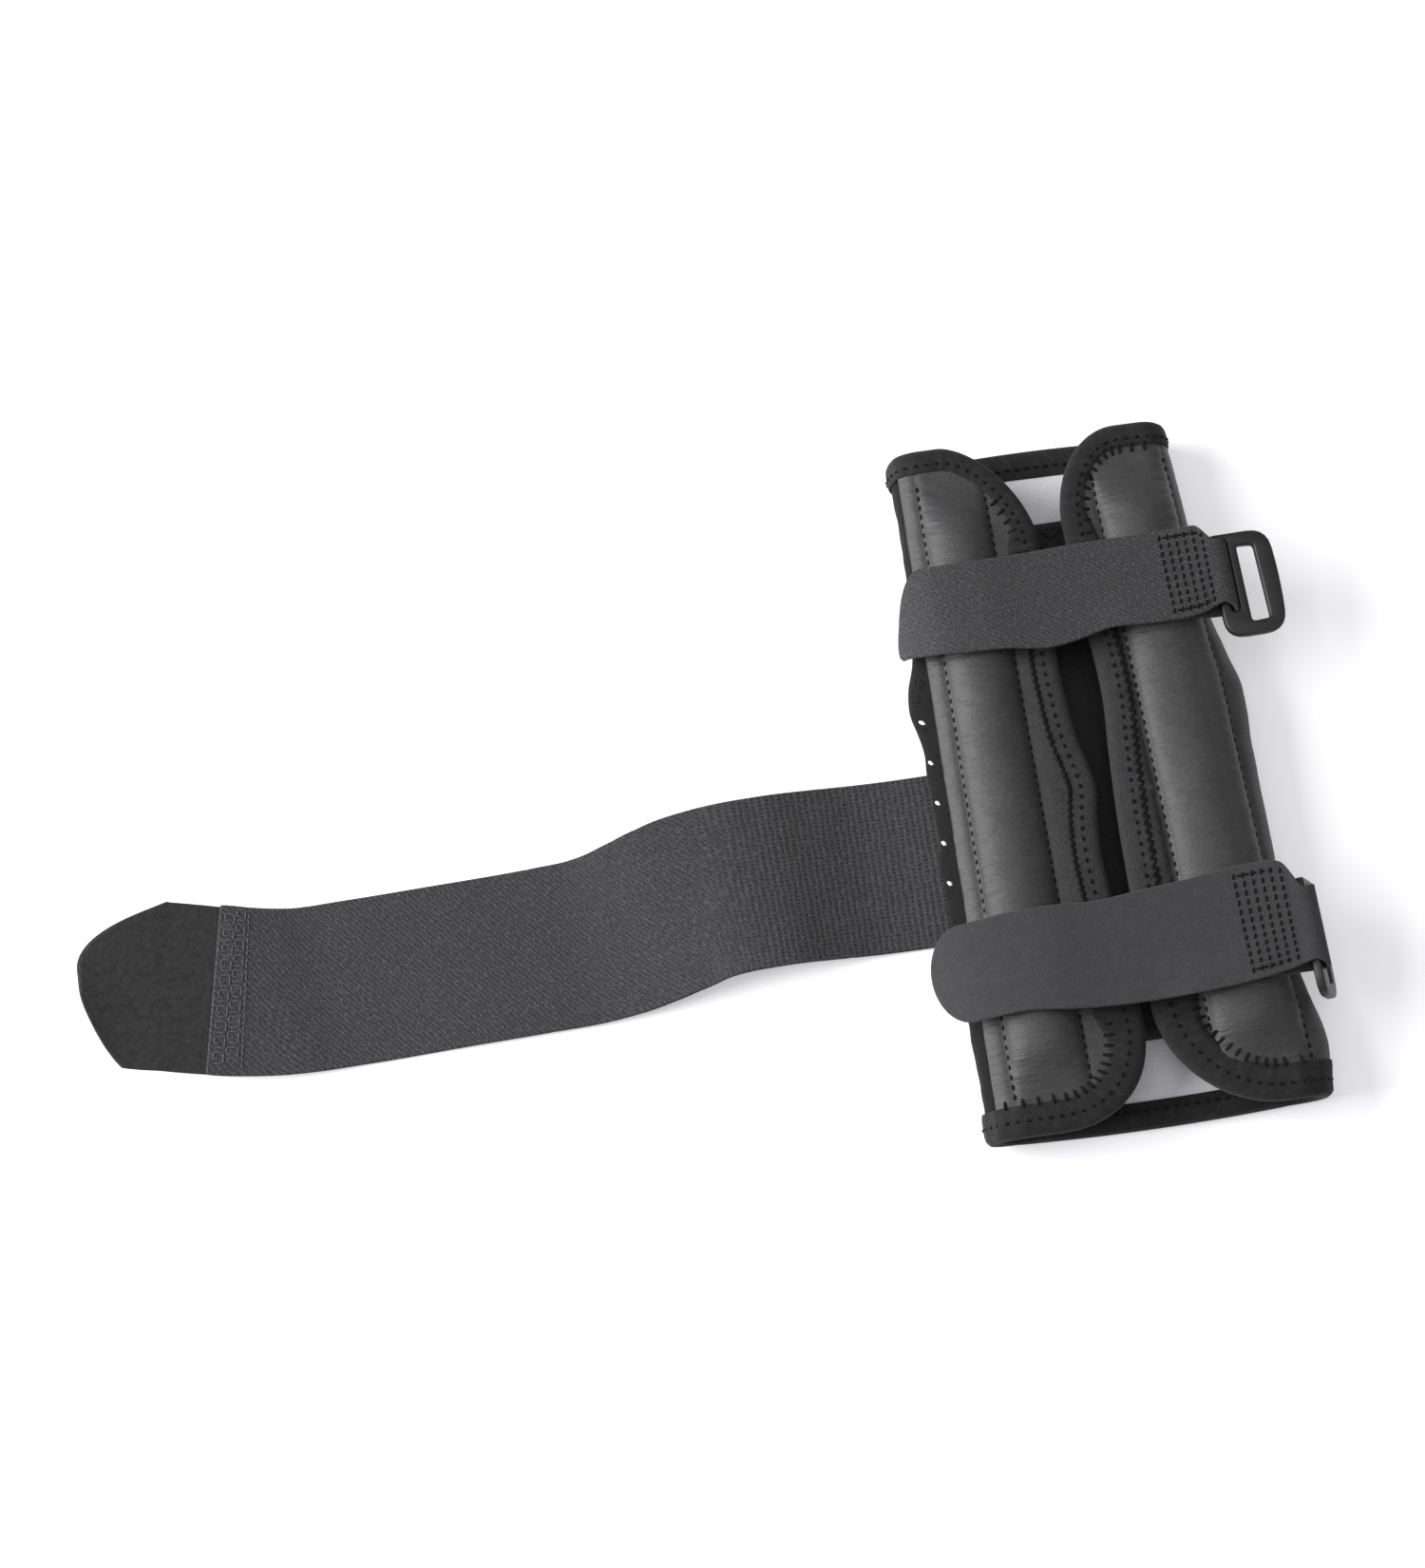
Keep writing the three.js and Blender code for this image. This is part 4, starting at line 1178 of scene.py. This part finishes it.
def loop_patch(name):
    """Loop fabric sewn over the left pocket, where a narrow strap's tip closes."""
    low, high = node_box(f"{name}_loop_patch")
    middle, _ = POCKETS[-1]
    reach = 6.8
    u, y = np.meshgrid(np.linspace(middle - reach, middle + reach, 24), np.linspace(low[1], high[1], 30))
    top = leather_top(-1, u, y)
    cloth = flat_cut(u, y)
    outer, inner = tube(-1, u, y, top + 0.7), tube(-1, u, y, top + 0.08)
    piece = closed_sheet(f"{name}_loops", outer, inner, cloth, [LOOP_CLOTH])
    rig.ride(piece, "left_wing")
    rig.replaces(piece, f"{name}_loop_patch")
    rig.slot(piece, "strap_fabric")
    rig.sheet(piece, flat=(2 * reach * MM, (high[1] - low[1]) * MM), held="laid", rests_on=["left_leather"])


def rounded(points, radius):
    """A closed outline with its corners rounded, each by its own radius or the same one."""
    points = [np.array(p, float) for p in points]
    radii = radius if isinstance(radius, (list, tuple)) else [radius] * len(points)
    made = []
    for i, (corner, r) in enumerate(zip(points, radii)):
        before, after = points[i - 1] - corner, points[(i + 1) % len(points)] - corner
        before, after = before / np.linalg.norm(before), after / np.linalg.norm(after)
        for t in np.linspace(0, 1, 6):
            made.append(corner + r * ((1 - t) ** 2 * before + t**2 * after))
    return made


def ring(name, width, hang):
    """Plastic ladder ring: an inner bar in the strap's fold, a middle bar, and a bowed outer bar."""
    pivot = joint_place(f"{name}_ring_swing")
    low, high = node_box(f"{name}_ring")
    half = (high[1] - low[1]) / 2 - 0.3
    bar, fold_slot, middle_bar, slot, outer_bar = 3.0, 2.3, 3.1, 5.0, 5.0
    inner = -bar / 2
    free = bar / 2 + fold_slot + middle_bar
    outer = free + slot + outer_bar
    outline = rounded(
        [(inner, -half), (outer - 0.8, -half), (outer + 0.3, 0), (outer - 0.8, half), (inner, half)],
        [6, 6, 9, 6, 2],
    )
    holes = [
        rounded([(bar / 2, 5.2 - width / 2), (bar / 2, width / 2 + 0.6),
                 (bar / 2 + fold_slot, width / 2 + 0.6), (bar / 2 + fold_slot, 5.2 - width / 2)], 0.8),
        rounded([(free - 0.3, 1.6 - width / 2), (free - 0.5, width / 2 - 1.6),
                 (free + slot - 0.6, width / 2 - 1.9), (free + slot, 1.9 - width / 2)], 1.1),
    ]
    curve = bpy.data.curves.new(f"{name}_ring_outline", "CURVE")
    curve.dimensions = "2D"
    curve.fill_mode = "BOTH"
    bevel = 0.75
    curve.extrude = (1.3 - bevel) * MM
    curve.bevel_depth = bevel * MM
    curve.bevel_resolution = 3
    curve.offset = -bevel * MM
    for loop in (outline, *holes):
        spline = curve.splines.new("POLY")
        spline.points.add(len(loop) - 1)
        for point, (x, y) in zip(spline.points, loop):
            point.co = (x * MM, y * MM, 0, 1)
        spline.use_cyclic_u = True
    source = bpy.data.objects.new(f"{name}_ring_source", curve)
    mesh = bpy.data.meshes.new_from_object(source)
    bpy.data.objects.remove(source)
    piece = finished(f"{name}_buckle_ring", mesh, 38, merge=1e-5)
    mesh.materials.clear()
    mesh.materials.append(PLASTIC)
    piece.location = Vector((pivot[0] - 0.3, (low[1] + high[1]) / 2 - 0.6, pivot[2])) * MM
    piece.rotation_euler = (0, math.radians(hang), 0)
    bpy.context.view_layer.update()
    mesh.transform(piece.matrix_world)
    piece.location, piece.rotation_euler = (0, 0, 0), (0, 0, 0)
    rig.ride(piece, f"{name}_ring")
    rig.replaces(piece, f"{name}_ring")
    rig.slot(piece, "ring_plastic")


def narrow_straps():
    def slack(x, t):
        return 0.8 * smooth((x - 4) / 14) * smooth((42 - x) / 10) * smooth(-t * 1.3 - 0.1)

    hand_edges = (
        through((-49, -3.4), (-42, -1.8), (-34, -0.3), (-19, 0.8), (-5.5, 2.4), (3, 1.2), (11, -0.5),
                (22, 0.2), (38, -0.3), (46, -2.6)),
        through((-49, 2.0), (-42, 1.0), (-30, 0), (10, 0.3), (30, 0), (46, 0)),
    )
    hand = narrow_strap("hand", [(-48.5, 12.5), (-46.2, 18.5), (-39, 25.2)], 45.8, 5.2, past_tip(5, 2.4, 11),
                        HAND_STRAP_CLOTH, hand_edges, slack)
    arm_edges = (
        through((-48, -0.8), (-33, -1.2), (-15, 0.9), (0, 1.6), (14, 1.6), (27, 1.1), (42, -0.8), (50, -2.4)),
        through((-48, -1.2), (-34, -0.4), (-20, -0.4), (-9, -1.1), (5, -0.1), (18, 0.8), (33, 2.2), (43, 2.0),
                (50, -0.8)),
    )
    arm = narrow_strap("forearm", [(-56, 18.6), (-49, 22.8), (-40, 25.8)], 50, 5.9, past_tip(11, 2.0),
                       FOREARM_STRAP_CLOTH, arm_edges, slack)
    box_seam("hand", *hand, 30, 42, 6, 10)
    box_seam("forearm", *arm, 31, 44, 6, 12)
    for name, (strap, _) in (("hand", hand), ("forearm", arm)):
        hook_patch(name, strap)
        loop_patch(name)
    ring("hand", 26, 0)
    ring("forearm", 29, 67)


# ---- Wide wrist strap ----
WIDE_LINE = [(-41.5, 0.65), (-50, 0.65), (-58, 0.8), (-68, 1.9), (-80, 4.8), (-94, 8.6), (-111, 10.4),
             (-126, 8.0), (-140, 3.8), (-152, 1.3), (-164, 0.7), (-188, 0.65), (-212, 0.9), (-228, 2.0),
             (-238, 3.7), (-248, 5.4), (-257, 7.2)]
TAB_LINE = [(-231, 0.9), (-240, 2.0), (-250, 3.9), (-262, 6.6), (-274, 9.8), (-285, 13.0), (-293, 15.6)]
WIDE_MIDDLE = through((-293, -10.4), (-271, -14.6), (-257, -17.6), (-249, -19.2), (-238, -20.7),
                      (-217, -20.9), (-193, -20.6), (-160, -20.2), (-151, -20), (-142, -19.1),
                      (-134, -17.6), (-126, -15.8), (-117, -13.9), (-108, -12.9), (-97, -12.4),
                      (-42, -12.5))


def wide_strap():
    """The strap in three stretches, each over one of its bends."""
    low, high = node_box("wrist_strap_root")
    half = (high[1] - low[1]) / 2
    narrower = through((-238, -0.9), (-150, -0.6), (-95, 0.2), (-60, 0.4))

    def halves(s, x):
        return (half + narrower(x),) * 2

    def flutter(x, t):
        return 0.45 * smooth((-70 - x) / 30) * smooth((x + 250) / 30) * (abs(t) + t * np.sin((x + 70) / 13))

    def knit(x):
        return smooth((x + 128) / 35)

    strap = Strap(WIDE_LINE[::-1], WIDE_MIDDLE, halves, 1.3, 0.8, flutter)
    stretches = [
        ("wide_strap_outer", -164, -257, "wrist_middle", "wrist_end", (-226, -231), ["wrist_strap_end"]),
        ("wide_strap_hump", -76, -164, "wrist_near", "wrist_middle", (-91, -97), ["wrist_strap_middle"]),
        ("wide_strap_root", -41.5, -76, "back", "wrist_near", (-55.5, -61),
         ["wrist_strap_root", "wrist_strap_near"]),
    ]
    for name, inner, outer, near, far, (start, end), nodes in stretches:
        s = np.interp([outer, inner], strap.line[:, 0], strap.at)
        rows = np.linspace(*s, max(int(abs(s[1] - s[0]) / 1.0), 4))[:, None]
        piece = strap.sheet(name, rows, across(46), WIDE_STRAP_CLOTH, knit, crease=40)
        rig.blend(piece, near, far, start=(start * MM, 0, 0), end=(end * MM, 0, 0))
        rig.replaces(piece, *nodes)
        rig.slot(piece, "strap_fabric")
        flat = (2 * half * MM, abs(s[1] - s[0]) * MM)
        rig.sheet(piece, flat=flat, held="draped", rests_on=["floor"])
    return strap, half


def hook_tab(half):
    """The darker tab at the wide strap's end, lapped under it, with cut corners and a curled tip."""
    tab = Strap(TAB_LINE[::-1], WIDE_MIDDLE, lambda s, x: (half - 1.2 + 0 * x,) * 2, 1.3, 0.8)
    t = np.sin(np.linspace(-math.pi / 2, math.pi / 2, 60))[None, :]
    start = np.where(t < 0, 15, 21.5) * np.clip((np.abs(t) - 0.12) / 0.88, 0, 1) ** 1.9
    share = np.linspace(0, 1, 70)[:, None]
    s = start + (tab.length - start) * share
    piece = tab.sheet("wide_strap_hook_tab", s, t, HOOKS)
    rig.ride(piece, "wrist_end")
    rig.replaces(piece, "wrist_strap_hook_tab")
    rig.slot(piece, "hook_tape")
    flat = (2 * half * MM, tab.length * MM)
    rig.sheet(piece, flat=flat, held="draped", rests_on=["wide_strap_outer"], area=0.9 * flat[0] * flat[1])


def key_seam(strap):
    """The seam that holds the tab: stitched boxes in two columns, each open on one side, and a plain row."""
    end = strap.at[0]
    rows = np.linspace(-0.9, 0.75, 10)
    lines = []
    for k, low in enumerate(rows):
        high = low + 0.13
        for column in (1.3, 4.7):
            left, right = end + column, end + column + 2.7
            inner = left + 1.3 if k % 2 else right - 1.3
            turns = [(left, low), (right, low), (right, high), (left, high)]
            turns += [(left, low + 0.05), (inner, low + 0.05)]
            spots = [strap.place(s, t + 0.02 * column, 0.7) for s, t in turns]
            lines += list(zip(spots, spots[1:]))
    t = np.linspace(-0.95, 0.95, 80)
    lines += dashes(strap.place(end + 8.6, t, 0.72), 1.4, 1.8)
    sewing = stitches("wide_strap_key_seam", lines, 0.42, GREY_THREAD)
    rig.ride(sewing, "wrist_end")
    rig.slot(sewing, "strap_fabric")


# ---- Studio ----
def studio():
    pale = Look("floor")
    tone = pale.ramp(pale.noise(pale.cloth, 0.02, 2), (0.3, 0.86), (0.7, 0.88))
    material = pale.finish(tone, 0.9, specular=0.1)
    pale.shader.inputs["Emission Color"].default_value = (1, 1, 1, 1)
    pale.shader.inputs["Emission Strength"].default_value = 0.35
    size = 4000
    corners = [(-size, -size, 0), (size, -size, 0), (size, size, 0), (-size, size, 0)]
    floor = mesh_piece("floor", np.array(corners) - (0, 0, 0.4), [(0, 1, 2, 3)], corners, [material])
    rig.stage(floor)
    world = bpy.data.worlds.new("studio")
    bpy.context.scene.world = world
    world.use_nodes = True
    background = world.node_tree.nodes["Background"]
    background.inputs["Color"].default_value = (1, 1, 1, 1)
    background.inputs["Strength"].default_value = 0.34
    for name, place, size, power in (
        ("key", (-0.95, 0.2, 0.55), 0.8, 20),
        ("fill", (-0.2, 0.1, 1.6), 1.0, 5),
    ):
        light = bpy.data.lights.new(name, "AREA")
        light.size = size
        light.energy = power
        lamp = placed(name, light)
        lamp.location = place
        lamp.rotation_mode = "QUATERNION"
        lamp.rotation_quaternion = (Vector((-0.05, 0, 0)) - Vector(place)).to_track_quat("-Z", "Y")


def camera():
    aim, distance = Vector((-0.1072, 0.0205, 0)), 0.8095
    elevation, turn = math.radians(76.8), math.radians(9.25)
    flat = math.cos(elevation)
    away = Vector((-flat * math.sin(turn), -flat * math.cos(turn), math.sin(elevation)))
    lens = bpy.data.cameras.new("camera")
    lens.lens, lens.sensor_width, lens.sensor_fit = 70, 36, "HORIZONTAL"
    eye = placed("camera", lens)
    eye.location = aim + distance * away
    eye.rotation_mode = "QUATERNION"
    eye.rotation_quaternion = (-away).to_track_quat("-Z", "Y")
    bpy.context.scene.camera = eye


bpy.context.scene.view_settings.view_transform = "Standard"
camera()
studio()
back_cloth()
back_lining()
back_pad()
back_binding("back_binding_hand", 1)
back_binding("back_binding_forearm", -1)
for side_name in SIDES:
    side_cloth(side_name)
    leather_cover(side_name)
    edge_binding(side_name)
    side_stitching(side_name)
    bar = frame["nodes"][f"{side_name}_splint"]
    bar.data.materials.clear()
    bar.data.materials.append(ALUMINIUM)
vent_holes()
narrow_straps()
main_strap, strap_half = wide_strap()
hook_tab(strap_half)
key_seam(main_strap)

bpy.context.view_layer.update()
boxes = {"cad": cad_bounds, "visual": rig.bounds()}
with open("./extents.json", "w") as file:
    json.dump({name: [list(corner) for corner in box] for name, box in boxes.items()}, file)
